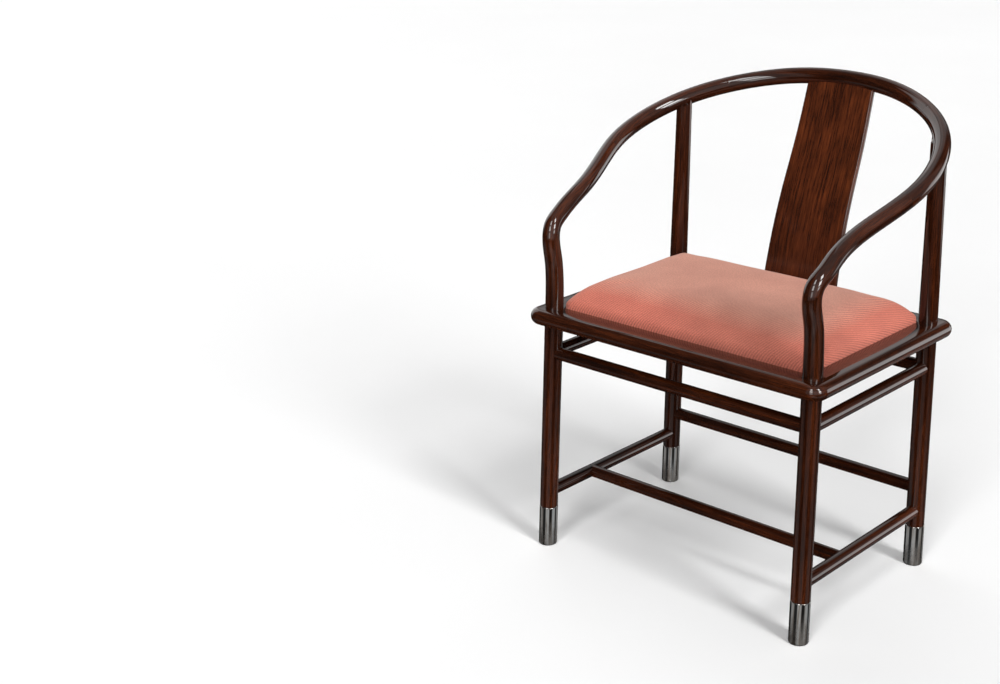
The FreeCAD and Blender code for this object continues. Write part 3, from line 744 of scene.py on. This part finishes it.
def seat_twill():
    """Coral twill: slanting ribs and uneven yarn, a paler top that is painted sheen and a browner patch that
    is painted shadow.
    """
    material, tree, shader = new_material(
        "coral twill", roughness=0.9, sheen_weight=0.3, sheen_roughness=0.5, sheen_tint=(0.9, 0.62, 0.5, 1)
    )
    weave = node(tree, "Attribute", attribute_name="weave").outputs["Vector"]
    places = node(tree, "TexCoord").outputs["Object"]
    uneven = stretched_noise(tree, weave, (1, 1, 1), scale=420, detail=3, roughness=0.7)
    broad = stretched_noise(tree, weave, (1, 1, 1), scale=13, detail=4, roughness=0.55)
    ribs, relief = twill_ribs(tree, weave, uneven)
    # Painted sheen: the top of the cushion is mixed towards a paler tan, the sides keep the deeper coral
    top = sizes().seat_height + sizes().cushion_height
    height = maths(tree, "MULTIPLY_ADD", broad, 0.008, parts_of(tree, places)["Z"])
    painted_sheen = band(tree, height, top - 0.014, top + 0.004, 0, 1)
    colour = mixed(tree, painted_sheen, colours().cloth, colours().cloth_painted_sheen)
    tone = maths(tree, "MULTIPLY_ADD", ribs, 0.15, uneven)
    threads = ramp(tree, tone, (0.3, (0.62,) * 3), (0.5, (0.98,) * 3), (0.7, (1.25,) * 3))
    clouds = ramp(tree, broad, (0.38, (0.94, 0.91, 0.9)), (0.62, (1.05, 1.04, 1.02)))
    for layer in (threads, clouds):
        colour = mixed(tree, 1.0, colour, layer, "MULTIPLY")
    # Painted shadow: a browner patch about where the right arm's shadow falls on the cushion
    middle, half = np.array(PAINTED_SHADOW_PATCH)
    patch = {"Vector": places, "Scale": (*(1 / half), 0), "Location": (*(-middle / half), 0)}
    near = node(tree, "Mapping", patch).outputs["Vector"]
    away = node(tree, "VectorMath", {0: near}, operation="LENGTH").outputs["Value"]
    painted_shadow = band(tree, maths(tree, "MULTIPLY_ADD", broad, 0.5, away), 0.3, 1.25, 0.5, 0)
    set_inputs(tree, shader, {
        "Base Color": mixed(tree, painted_shadow, colour, colours().cloth_painted_shadow),
        "Normal": bump(tree, relief, 0.5, 0.0003),
    })
    return material


def wood_material():
    """The chair's dark lacquered wood, made once."""
    name = "dark lacquered wood"
    return bpy.data.materials.get(name) or lacquered_wood(name, colours().wood_dark, colours().wood_light)


def wooden_piece(name, replaced, skin, shift, ends=("face", "face")):
    """Piece of dark lacquered wood, its grain shifted so that no two pieces match."""
    surface, grain = skin
    piece = mesh_object(name, surface, grain + shift, ends)
    finish_piece(piece, wood_material(), "chair_frame", "lacquered_wood", replaced)


# Pieces

class ARMCHAIR_OT_horseshoe_rail(bpy.types.Operator):
    """Five round pieces of the horseshoe rail, joined end to end"""

    bl_idname = "armchair.horseshoe_rail"
    bl_label = "Horseshoe rail"

    def execute(self, context):
        s = sizes()
        distances, _ = rail_line()
        bend_end = s.crest_half + s.bend_length
        post_joint = distances[-1] - s.post_length
        stretches = {
            "crest_rail": (-s.crest_half, s.crest_half, 90, UPWARD),
            "right_back_bend": (s.crest_half, bend_end, 70, UPWARD),
            "left_back_bend": (-s.crest_half, -bend_end, 70, UPWARD),
            "right_arm": (bend_end, post_joint, 90, SIDEWAYS),
            "left_arm": (-bend_end, -post_joint, 90, SIDEWAYS),
        }
        for name, stretch in stretches.items():
            wooden_piece("round_" + name, name, rail_rings(*stretch), (0.31, 0, 0))
        return {"FINISHED"}


def leg_skin(side, end, heights, radii, around=48):
    """Skin of round rows about a leg's axis."""
    along = np.broadcast_to(leg_direction(side, end), (len(heights), 3))
    return rings(leg_points(side, end, heights), along, radii, heights, SIDEWAYS, around)


def leg_bottom():
    """Rows of a leg from the top of its screw's bore, down and round its foot, up past its shoulder."""
    s = sizes()
    foot_radius = s.leg_radius + s.sabot_proud - s.sabot_wall - s.joint_gap
    foot, shoulder = s.sabot_floor + s.joint_gap, s.sabot_height + s.joint_gap
    bevel, bevel_height = 0.0003, 0.0002
    heights = np.array((BORE_TOP, BORE_TOP, foot, foot, shoulder, shoulder, shoulder + bevel_height))
    bore = (0, BORE_RADIUS, BORE_RADIUS)
    return heights, np.array((*bore, foot_radius, foot_radius, s.leg_radius - bevel, s.leg_radius))


def arm_post(side, top):
    """Skin of a front leg from the seat frame up: the end of the rail's own line, to its joint."""
    last = side * rail_line()[0][-1]
    surface, grain = rail_rings(last, last - side * sizes().post_length, 50, SIDEWAYS, 48, False)
    grain[..., 2] = top + np.abs(grain[..., 2] - last)
    return surface, grain


def rear_post(side, end):
    """Skin of a rear leg from the seat frame up, thinner towards the rail and coped to it."""
    s = sizes()
    seat = leg_points(side, end, s.seat_height)[0]
    gap = from_rail(*sorted(side * place for place in REAR_POST_STRETCH))
    axis = leg_points(side, end, np.linspace(s.seat_height, s.seat_height + s.back_rise, 400))
    top = axis[np.argmin(gap(axis))]
    radii = (s.leg_radius, s.rear_post_radius - POST_THINNING)
    surface, grain = bar(seat, top, radii, (None, gap), SIDEWAYS, 48, 60)
    return surface, grain + (0, 0, s.seat_height)


class ARMCHAIR_OT_legs(bpy.types.Operator):
    """Four splayed legs, the front ones bowed above the seat and the rear ones coped to the rail"""

    bl_idname = "armchair.legs"
    bl_label = "Legs"

    def execute(self, context):
        s = sizes()
        bottom, bottom_radii = leg_bottom()
        step_up, count = 0.0005, 14
        for number, (name, (side, end)) in enumerate(CORNERS.items()):
            top = s.seat_height if end == REAR else s.seat_height - s.frame_thickness / 2
            heights = np.concatenate([bottom, np.linspace(bottom[-1] + step_up, top, count)])
            radii = np.concatenate([bottom_radii, np.full(count, s.leg_radius)])
            lower = leg_skin(side, end, heights, radii)
            upper = rear_post(side, end) if end == REAR else arm_post(side, top)
            skin = (np.concatenate([low, high[1:]]) for low, high in zip(lower, upper))
            ends = ("pole", "pole" if end == REAR else "face")
            wooden_piece("turned_" + name + "_leg", name + "_leg", skin, (0.17, 0.41 * number, 0), ends)
        return {"FINISHED"}


class ARMCHAIR_OT_stretchers(bpy.types.Operator):
    """Seven round bars from leg to leg, coped to the legs, and the low bar across the side stretchers"""

    bl_idname = "armchair.stretchers"
    bl_label = "Stretchers"

    def execute(self, context):
        s = sizes()
        upper = s.seat_height - s.frame_thickness - s.upper_drop
        front_left, front_right, rear_left, rear_right = CORNERS.values()
        bars = {
            "upper_rail_front": (front_left, front_right, upper),
            "upper_rail_back": (rear_left, rear_right, upper),
            "upper_rail_left": (front_left, rear_left, upper),
            "upper_rail_right": (front_right, rear_right, upper),
            "side_stretcher_left": (front_left, rear_left, s.side_height),
            "side_stretcher_right": (front_right, rear_right, s.side_height),
            "back_stretcher": (rear_left, rear_right, s.back_height),
        }
        poles = ("pole", "pole")
        for number, (name, (first, last, height)) in enumerate(bars.items()):
            start, end = (leg_points(*corner, height)[0] for corner in (first, last))
            gaps = [
                from_line(point, leg_direction(*corner), s.leg_radius + s.joint_gap)
                for point, corner in ((start, first), (end, last))
            ]
            skin = bar(start, end, (s.stretcher_radius,) * 2, gaps, UPWARD)
            wooden_piece("round_" + name, name, skin, (0.23 * number, 0.2, 0), poles)
        y = seat_middle() - s.cross_forward
        half = leg_points(RIGHT, FRONT, s.side_height)[0][0]
        start, end = (np.array((side * half, y, s.side_height)) for side in (LEFT, RIGHT))
        gaps = [from_line(point, (0, 1, 0), s.stretcher_radius + s.joint_gap) for point in (start, end)]
        skin = bar(start, end, (s.cross_radius,) * 2, gaps, UPWARD)
        wooden_piece("round_cross_stretcher", "cross_stretcher", skin, (0.5, 0.7, 0), poles)
        return {"FINISHED"}


def member_surface(width, depth):
    """Skin of a front member of a frame of this width and depth, from mitre to mitre.

    The profile is a half-round nosing, the top, the rabbet, the opening's edge and the underside.
    Each of its points is carried along an outline set in from the frame's edge: an eighth of a
    circle at each corner and a straight run between.
    """
    s = sizes()
    round_radius = (s.frame_thickness - s.nosing_flat) / 2
    middle = s.seat_height - s.frame_thickness / 2
    turn = np.linspace(-math.pi / 2, math.pi / 2, 25)
    inset = round_radius * (1 - np.cos(turn))
    height = middle + np.sign(np.sin(turn)) * s.nosing_flat / 2 + round_radius * np.sin(turn)
    arris, tight = 0.0004, 0.0003
    eased = 0.3 * arris
    floor = s.seat_height - s.rabbet_depth
    bottom = s.seat_height - s.frame_thickness
    extra = np.array((
        (s.rabbet_setback - arris, s.seat_height, s.rabbet_radius + arris),
        (s.rabbet_setback - eased, s.seat_height - eased, s.rabbet_radius + eased),
        (s.rabbet_setback, s.seat_height - arris, s.rabbet_radius),
        (s.rabbet_setback, floor, s.rabbet_radius),
        (s.member_width, floor, tight),
        (s.member_width, bottom, tight),
    ))
    inset = np.concatenate([inset, extra[:, 0]])
    height = np.concatenate([height, extra[:, 1]])
    radius = np.concatenate([s.corner_radius - inset[:25], extra[:, 2]])
    half_width, half_depth = width / 2 - inset - radius, depth / 2 - inset - radius
    corner = np.linspace(-math.pi / 4, 0, 13)
    angles = np.concatenate([corner, np.zeros(9), -corner[::-1]])[:, None]
    side = np.concatenate([-np.ones(13), np.linspace(-0.9, 0.9, 9), np.ones(13)])[:, None]
    x = side * half_width + radius * np.sin(angles)
    y = -half_depth - radius * np.cos(angles) + 0 * side
    surface = np.stack([x, y, height + 0 * x], axis=-1)
    surface[0, :, 0] += s.joint_gap
    surface[-1, :, 0] -= s.joint_gap
    return surface


def leg_cutters():
    """A round rod to each leg, as thick as its hole in the seat frame."""
    s = sizes()
    heights = s.seat_height + np.array(CUTTER_REACH)
    radii = np.full(len(heights), s.leg_radius + s.joint_gap)
    return [mesh_object("leg_hole", *leg_skin(*corner, heights, radii, 96)) for corner in CORNERS.values()]


class ARMCHAIR_OT_seat_frame(bpy.types.Operator):
    """Four mitred members of the seat frame, with a round nosing, a rabbet and holes for the legs"""

    bl_idname = "armchair.seat_frame"
    bl_label = "Seat frame"

    def execute(self, context):
        s = sizes()
        cutters = leg_cutters()
        across, along = (s.frame_width, s.frame_depth), (s.frame_depth, s.frame_width)
        members = {"front": across, "right": along, "back": across, "left": along}
        for quarters, (name, (width, depth)) in enumerate(members.items()):
            surface = member_surface(width, depth)
            turn = np.linalg.matrix_power(np.array(((0, -1), (1, 0))), quarters)
            surface[..., :2] = surface[..., :2] @ turn.T
            surface[..., 1] += seat_middle()
            piece = mesh_object("mitred_frame_" + name, surface, surface)
            for cutter in cutters:
                hole = piece.modifiers.new("leg hole", "BOOLEAN")
                hole.operation, hole.solver, hole.object = "DIFFERENCE", "MANIFOLD", cutter
            apply_modifiers(piece)
            order = (0, 2, 1) if quarters % 2 else (1, 2, 0)
            give_places(piece.data, "grain", mesh_places(piece.data)[:, order] + (0.2, 0.37 * quarters, 0))
            shade(piece.data)
            finish_piece(piece, wood_material(), "chair_frame", "lacquered_wood", "seat_frame_" + name)
        for cutter in cutters:
            bpy.data.objects.remove(cutter)
        return {"FINISHED"}


def splat_section():
    """Section of the splat: share of its half width, more width, and offset to its front.

    The back runs from left to right between two quarter rounds, and the front is the same reversed.
    """
    s = sizes()
    corner = np.linspace(0, math.pi / 2, 6)
    round_x, round_y = s.splat_round * (np.sin(corner) - 1), s.splat_round * (np.cos(corner) - 1)
    flat = np.linspace(-1, 1, 15)[1:-1]
    share = np.concatenate([-np.ones(6), flat, np.ones(6)])
    extra = np.concatenate([-round_x[::-1], 0 * flat, round_x])
    offset = s.splat_thickness / 2 + np.concatenate([round_y[::-1], 0 * flat, round_y])
    return (
        np.concatenate([share, share[::-1]]),
        np.concatenate([extra, extra[::-1]]),
        np.concatenate([-offset, offset[::-1]]),
    )


def splat_line():
    """Centreline of the splat, from the seat frame up to the rail's height."""
    s = sizes()
    foot = np.array((0, seat_middle() + s.frame_depth / 2 - s.splat_setback, s.seat_height))
    lean = s.back_overhang + s.splat_setback - s.splat_forward
    up, back = SPLAT_LEAN_SHARES.T
    return spline(foot + np.stack([0 * up, lean * back, s.back_rise * up], axis=-1))


class ARMCHAIR_OT_back_splat(bpy.types.Operator):
    """S-curved splat with rounded long edges, coped to the rail at its top"""

    bl_idname = "armchair.back_splat"
    bl_label = "Back splat"

    def execute(self, context):
        s = sizes()
        line = splat_line()
        distances = measured(line)
        slopes = unit(np.gradient(line, distances, axis=0))
        share, extra, offset = splat_section()

        def skin(places):
            middle, slope = at(places, distances, line), unit(at(places, distances, slopes))
            outward = np.cross(slope, (-1.0, 0.0, 0.0))
            rise = (middle[..., 2] - s.seat_height) / s.back_rise
            half = (s.splat_bottom + (s.splat_top - s.splat_bottom) * rise) / 2
            surface = middle + outward * offset[:, None]
            surface[..., 0] = half * share + extra
            return surface

        full, rows = distances[-1], np.linspace(0, 1, 90)
        lowest_share = 0.93
        gap = from_rail(*SPLAT_STRETCH)
        tops = first_meeting(gap, lambda place: skin(np.full(len(share), place)), full * lowest_share, full)
        surface = np.stack([skin(tops * row) for row in rows])
        surface[0, :, 2] = s.seat_height + s.joint_gap / 2
        across = surface[..., 0]
        grain = np.stack([across, 0 * across + offset, rows[:, None] * tops], axis=-1)
        piece = mesh_object("curved_back_splat", surface, grain + (0.9, 0.3, 0), ("rungs", "rungs"))
        # The splat's foot gets painted shade where it meets the seat
        material = lacquered_wood(
            "figured splat wood", colours().splat_dark, colours().splat_light,
            streaks=300, length_share=0.02, figure=1.0, gloss=0.16, cloud=34, painted_shade_reach=0.17,
        )
        finish_piece(piece, material, "chair_frame", "splat_wood", "back_splat")
        return {"FINISHED"}


class ARMCHAIR_OT_sabots(bpy.types.Operator):
    """Four metal cups on the legs' feet, bored and sunk for their screws"""

    bl_idname = "armchair.sabots"
    bl_label = "Sabots"

    def execute(self, context):
        s = sizes()
        material = polished_nickel()
        outer, top = s.leg_radius + s.sabot_proud, s.sabot_height
        inner = outer - s.sabot_wall
        rim, foot, bevel = 0.0004, 0.0026, 0.0002
        head_radius, sunk, head_height = 0.0041, 0.0006, 0.002
        quarter = np.linspace(0, math.pi / 2, 7)
        profile = np.concatenate([
            ((BORE_RADIUS, s.sabot_floor), (inner, s.sabot_floor)),
            ((inner, top - bevel), (inner + bevel, top)),
            np.stack([outer - rim + rim * np.sin(quarter), top - rim + rim * np.cos(quarter)], axis=-1),
            np.stack([np.full(24, outer), np.linspace(top - rim, foot, 26)[1:-1]], axis=-1),
            np.stack([outer - foot + foot * np.cos(quarter), foot - foot * np.sin(quarter)], axis=-1),
            ((head_radius, 0), (head_radius, sunk), (BORE_RADIUS, sunk + head_height)),
        ])
        radii, heights = profile.T
        spread = radii[:, None, None] * level_circle(64)
        for name, (side, end) in CORNERS.items():
            surface = leg_points(side, end, heights)[:, None] + spread
            piece = mesh_object("metal_" + name + "_sabot", surface, surface, closed_rows=True)
            finish_piece(piece, material, "chair_frame", "nickel", name + "_sabot")
        return {"FINISHED"}


def cushion_start(inset):
    """Crowned cushion as rows across the seat, smaller all round by the inset.

    Above its upright edge its height is a rise times one less the joint slope. A slope, from an end
    or from a long side, is a power of the share of the way to go to the flat of the top, and two
    slopes join as the root of the sum of their powers, which rounds the hips between them.
    """
    s = sizes()
    half_width = s.frame_width / 2 - s.rabbet_setback - s.cushion_gap - inset
    half_depth = s.frame_depth / 2 - s.rabbet_setback - s.cushion_gap - inset
    rest_gap = 0.0003
    base = s.seat_height - s.rabbet_depth + rest_gap + inset
    corner = s.rabbet_radius
    share = np.sin(np.linspace(-math.pi / 2, math.pi / 2, 121))[:, None]
    x = share * half_width
    from_end = half_width - np.abs(x)
    corner_share = np.clip(1 - from_end / corner, 0, 1)
    depth = half_depth - corner * (1 - np.sqrt(1 - corner_share ** 2))
    depth = depth - s.cushion_drawn_in * (1 - share ** 2)
    over = -np.sin(np.linspace(-math.pi / 2, math.pi / 2, 81))
    end_slope = np.clip(1 - from_end / s.cushion_slope, 0, 1) ** END_FLATTENING
    side_slope = np.clip(1 - half_depth * (1 - np.abs(over)) / s.cushion_slope, 0, 1) ** SIDE_FLATTENING
    slope = (end_slope ** CUSHION_HIP + side_slope ** CUSHION_HIP) ** (1 / CUSHION_HIP)
    over_y = depth * over
    over_z = s.seat_height + s.cushion_edge - inset
    over_z = over_z + (s.cushion_height - s.cushion_edge) * np.clip(1 - slope, 0, 1)
    base_y = np.array((-1, -0.5, 0, 0.5, 1))
    y = np.concatenate([depth * base_y, over_y], axis=1)
    z = np.concatenate([base + 0 * depth * base_y, over_z], axis=1)
    return np.stack([x + 0 * y, seat_middle() + y, z], axis=-1)


def inflate(piece, cap):
    """Cloth, blown out from inside with its base held, each point moved by no more than the cap."""
    frames, held_share = 20, 0.7
    before = mesh_places(piece.data)
    low, high = before[:, 2].min(), sizes().seat_height
    held = piece.vertex_groups.new(name="held")
    for index in np.flatnonzero(before[:, 2] < low + held_share * (high - low)).tolist():
        held.add([index], 1.0, "ADD")
    cloth = piece.modifiers.new("filling", "CLOTH")
    settings = cloth.settings
    settings.quality, settings.mass = 6, 0.25
    settings.use_pressure, settings.uniform_pressure_force = True, 4
    settings.effector_weights.gravity = 0
    settings.vertex_group_mass = held.name
    cloth.point_cache.frame_start, cloth.point_cache.frame_end = 1, frames
    scene = bpy.context.scene
    for step in range(1, frames + 1):
        scene.frame_set(step)
    after = mesh_places(evaluated(piece))
    scene.frame_set(1)
    piece.modifiers.clear()
    piece.vertex_groups.clear()
    moved = after - before
    size = np.linalg.norm(moved, axis=1, keepdims=True)
    moved *= cap * np.tanh(size / cap) / np.maximum(size, 1e-9)
    set_places(piece.data, before + moved)


def fitted(places, low, high):
    """Points of the cushion, a little uneven on top and scaled to the sides of its CAD box."""
    s = sizes()
    unevenness, fade, side_gap, room_above = 0.0005, 0.02, 0.0001, 0.002
    middle = (0, seat_middle())
    waves = unevenness * np.sin(places[:, 0] * 31 + 1.0) * np.sin(places[:, 1] * 37)
    places[:, 2] += waves * np.clip((places[:, 2] - s.seat_height - fade) / fade, 0, 1)
    reach = (high - low)[:2] / 2 - side_gap
    from_middle = places[:, :2] - middle
    places[:, :2] = middle + from_middle * reach / np.abs(from_middle).max(0)
    places[:, 2] = np.clip(places[:, 2], low[2] + side_gap, high[2] + room_above)
    return places


def woven(places, high):
    """Places on the flat cloth: the sides are folded out, each point by its drop below the top."""
    s = sizes()
    x, y = places[:, 0], places[:, 1] - seat_middle()
    drop = np.clip(s.seat_height + 0.7 * s.cushion_height - places[:, 2], 0, None)
    beyond = np.abs(x) / high[0] - np.abs(y) / (high[1] - seat_middle())
    to_side = np.clip(beyond * 12 + 0.5, 0, 1)
    across = x + np.sign(x) * drop * to_side
    return np.stack([across, places[:, 1] + np.sign(y) * drop * (1 - to_side), 0 * drop], axis=-1)


class ARMCHAIR_OT_cushion(bpy.types.Operator):
    """Padded seat in coral twill, swelled by a cloth simulation"""

    bl_idname = "armchair.cushion"
    bl_label = "Cushion"

    def execute(self, context):
        surface = cushion_start(CUSHION_INSET)
        piece = mesh_object("padded_seat", surface, surface)
        remesh = piece.modifiers.new("even faces", "REMESH")
        remesh.mode, remesh.voxel_size = "VOXEL", 0.005
        apply_modifiers(piece)
        inflate(piece, CUSHION_SWELL)
        smooth = piece.modifiers.new("rounding", "SUBSURF")
        smooth.levels = smooth.render_levels = 1
        apply_modifiers(piece)
        low, high = (np.array(corner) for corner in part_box("seat_cover"))
        places = fitted(mesh_places(piece.data), low, high)
        set_places(piece.data, places)
        give_places(piece.data, "weave", woven(places, high))
        turn_outward(piece.data)
        piece.data.shade_smooth()
        finish_piece(piece, seat_twill(), "drop_in_seat", "seat_cloth", "seat_cover", "seat_foam")
        return {"FINISHED"}


class ARMCHAIR_OT_dust_cover(bpy.types.Operator):
    """Thin lining stretched under the loose seat"""

    bl_idname = "armchair.dust_cover"
    bl_label = "Dust cover"

    def execute(self, context):
        low, high = (np.array(corner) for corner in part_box("dust_cover"))
        across, deep = (np.linspace(-1, 1, count) for count in (61, 41))
        u, v = np.meshgrid(across, deep, indexing="ij")
        centre, half = (low + high) / 2, (high - low) / 2
        sag, ripple, thickness = 0.0012, 0.0002, 0.0005
        drop = sag * (1 - u ** 2) * (1 - v ** 2)
        drop = drop + ripple * np.sin(u * 9) * np.sin(v * 7) * (1 - u ** 4) * (1 - v ** 4)
        sheet = np.stack([centre[0] + half[0] * u, centre[1] + half[1] * v, high[2] - drop], axis=-1)
        index = np.arange(u.size).reshape(u.shape)
        faces = np.stack([index[:-1, :-1], index[1:, :-1], index[1:, 1:], index[:-1, 1:]], axis=-1)
        piece = linked_object("stretched_dust_cover", sheet, faces.reshape(-1, 4).tolist())
        piece.data.shade_smooth()
        thick = piece.modifiers.new("cloth thickness", "SOLIDIFY")
        thick.thickness, thick.offset = thickness, -1
        material = plain_material("black lining", (0.02, 0.02, 0.022), 0.8, scale=1500, spread=0.5)
        finish_piece(piece, material, "drop_in_seat", "dust_cloth", "dust_cover")
        return {"FINISHED"}


class ARMCHAIR_OT_fastenings(bpy.types.Operator):
    """Finishes of the board, dowels, keys, screws and staples, which keep their CAD shapes"""

    bl_idname = "armchair.fastenings"
    bl_label = "Board and fastenings"

    def execute(self, context):
        bare = plain_material("bare wood", (0.52, 0.37, 0.22), 0.6, scale=60, stretch=(0.2, 1, 1))
        steel = plain_material("zinc-plated steel", (0.5, 0.5, 0.5), 0.3, 1.0, scale=900, spread=0.2)
        finishes = {
            "rail_dowels": bare, "arm_dowels": bare, "seat_board": bare, "mitre_keys": bare,
            "sabot_screws": steel, "cover_staples": steel,
        }
        for name, material in finishes.items():
            mesh = cad_nodes[name].data
            mesh.materials.clear()
            mesh.materials.append(material)
        return {"FINISHED"}


class ARMCHAIR_OT_stage(bpy.types.Operator):
    """Pale floor, soft light and the camera"""

    bl_idname = "armchair.stage"
    bl_label = "Stage"

    def floor(self):
        """Pale floor that nothing mirrors."""
        reach = 40
        corners = [(-reach, -reach, 0), (reach, -reach, 0), (reach, reach, 0), (-reach, reach, 0)]
        floor = linked_object("floor", corners, [(0, 1, 2, 3)])
        pale = plain_material("pale floor", (0.9, 0.9, 0.9), 0.6, scale=0.7, spread=0.02)
        floor.data.materials.append(pale)
        floor.visible_glossy = False
        return floor

    def backdrop(self, material):
        """Pale round wall far behind the chair, for low views only: it lights and mirrors nothing."""
        around, radius, height = 64, 36, 30
        circle = radius * level_circle(around)
        index = np.arange(around)
        beside = np.roll(index, -1)
        faces = np.stack([index, beside, beside + around, index + around], axis=-1)
        wall = linked_object("backdrop", np.concatenate([circle, circle + (0, 0, height)]), faces.tolist())
        wall.data.materials.append(material)
        wall.visible_glossy = wall.visible_diffuse = wall.visible_shadow = False

    def camera(self, scene, stage):
        """Camera at the photo's angle: it looks along its turn and tilt, and rolls about that line."""
        camera_data = bpy.data.cameras.new("camera")
        camera_data.lens, camera_data.sensor_width = stage.lens, 36
        camera = bpy.data.objects.new("camera", camera_data)
        scene.collection.objects.link(camera)
        a, e, r = stage.azimuth, stage.elevation, stage.roll
        back = np.array((math.sin(a) * math.cos(e), -math.cos(a) * math.cos(e), math.sin(e)))
        right = np.array((math.cos(a), math.sin(a), 0))
        down = np.cross(-back, right)
        right, down = math.cos(r) * right - math.sin(r) * down, math.sin(r) * right + math.cos(r) * down
        camera.matrix_world = placed(right, -down, back, stage.place)
        scene.camera = camera

    def execute(self, context):
        scene, stage = context.scene, context.scene.armchair_stage
        scene.view_settings.view_transform = "Standard"
        floor = self.floor()
        self.backdrop(floor.data.materials[0])
        world = bpy.data.worlds.new("soft room")
        world.use_nodes = True
        scene.world = world
        soft_room(world.node_tree, stage.azimuth)
        world.node_tree.nodes["Background"].inputs["Strength"].default_value = stage.light_power
        self.camera(scene, stage)
        return {"FINISHED"}


def soft_room(tree, azimuth):
    """Surroundings that the finishes mirror: soft boxes and pale walls, a dim front and a dark floor.

    Each is a patch of sky that fades out at its edge. The low ones are what the metal mirrors.
    """
    def within(value, half, soft):
        half, soft = math.radians(half), math.radians(soft)
        return band(tree, maths(tree, "ABSOLUTE", value), half - soft / 2, half + soft / 2, 1, 0)

    direction = node(tree, "TexCoord").outputs["Generated"]
    ahead, aside = (
        node(tree, "VectorMath", {0: direction, 1: axis}, operation="DOT_PRODUCT").outputs["Value"]
        for axis in ((math.sin(azimuth), -math.cos(azimuth), 0), (math.cos(azimuth), math.sin(azimuth), 0))
    )
    turned = maths(tree, "ARCTAN2", aside, ahead)
    raised = maths(tree, "ARCSINE", parts_of(tree, direction)["Z"])
    total = band(tree, raised, math.radians(-10), math.radians(5), 0.02, 0.06)
    for centre, half, low, high, soft, level in SURROUNDINGS:
        away = maths(tree, "SUBTRACT", turned, math.radians(centre))
        away = maths(tree, "WRAP", away, math.pi, -math.pi)
        above = maths(tree, "SUBTRACT", raised, math.radians((low + high) / 2))
        patch = maths(tree, "MULTIPLY", within(away, half, soft), within(above, (high - low) / 2, soft))
        total = maths(tree, "MULTIPLY_ADD", patch, level, total)
    tree.links.new(total, tree.nodes["Background"].inputs["Color"])


def placed(right, up, back, place):
    """Matrix from three axes and a place."""
    matrix = np.eye(4)
    matrix[:3, 0], matrix[:3, 1], matrix[:3, 2], matrix[:3, 3] = right, up, back, place
    return Matrix(matrix.tolist())


OPERATORS = (
    ARMCHAIR_OT_horseshoe_rail, ARMCHAIR_OT_legs, ARMCHAIR_OT_stretchers, ARMCHAIR_OT_seat_frame,
    ARMCHAIR_OT_back_splat, ARMCHAIR_OT_sabots, ARMCHAIR_OT_cushion, ARMCHAIR_OT_dust_cover,
    ARMCHAIR_OT_fastenings, ARMCHAIR_OT_stage,
)


class ARMCHAIR_PT_build(bpy.types.Panel):
    """Sidebar panel with a button for each group of pieces"""

    bl_idname = "ARMCHAIR_PT_build"
    bl_label = "Armchair"
    bl_space_type = "VIEW_3D"
    bl_region_type = "UI"
    bl_category = "Armchair"

    def draw(self, context):
        for operator in OPERATORS:
            self.layout.operator(operator.bl_idname)
        scene = context.scene
        for group in (scene.armchair_colours, scene.armchair_stage, scene.armchair_sizes):
            box = self.layout.box()
            for name in group.__annotations__:
                box.prop(group, name)


CLASSES = (ArmchairSizes, ArmchairColours, ArmchairStage, *OPERATORS, ARMCHAIR_PT_build)


def register():
    """Adds the settings, operators and panel."""
    for item in CLASSES:
        bpy.utils.register_class(item)
    bpy.types.Scene.armchair_sizes = bpy.props.PointerProperty(type=ArmchairSizes)
    bpy.types.Scene.armchair_colours = bpy.props.PointerProperty(type=ArmchairColours)
    bpy.types.Scene.armchair_stage = bpy.props.PointerProperty(type=ArmchairStage)


def unregister():
    """Takes them away again."""
    del bpy.types.Scene.armchair_sizes, bpy.types.Scene.armchair_colours, bpy.types.Scene.armchair_stage
    for item in reversed(CLASSES):
        bpy.utils.unregister_class(item)


def main():
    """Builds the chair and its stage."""
    register()
    for operator in OPERATORS:
        group, name = operator.bl_idname.split(".")
        if getattr(getattr(bpy.ops, group), name)() != {"FINISHED"}:
            raise RuntimeError(operator.bl_label + " didn't finish")


if __name__ == "__main__":
    main()
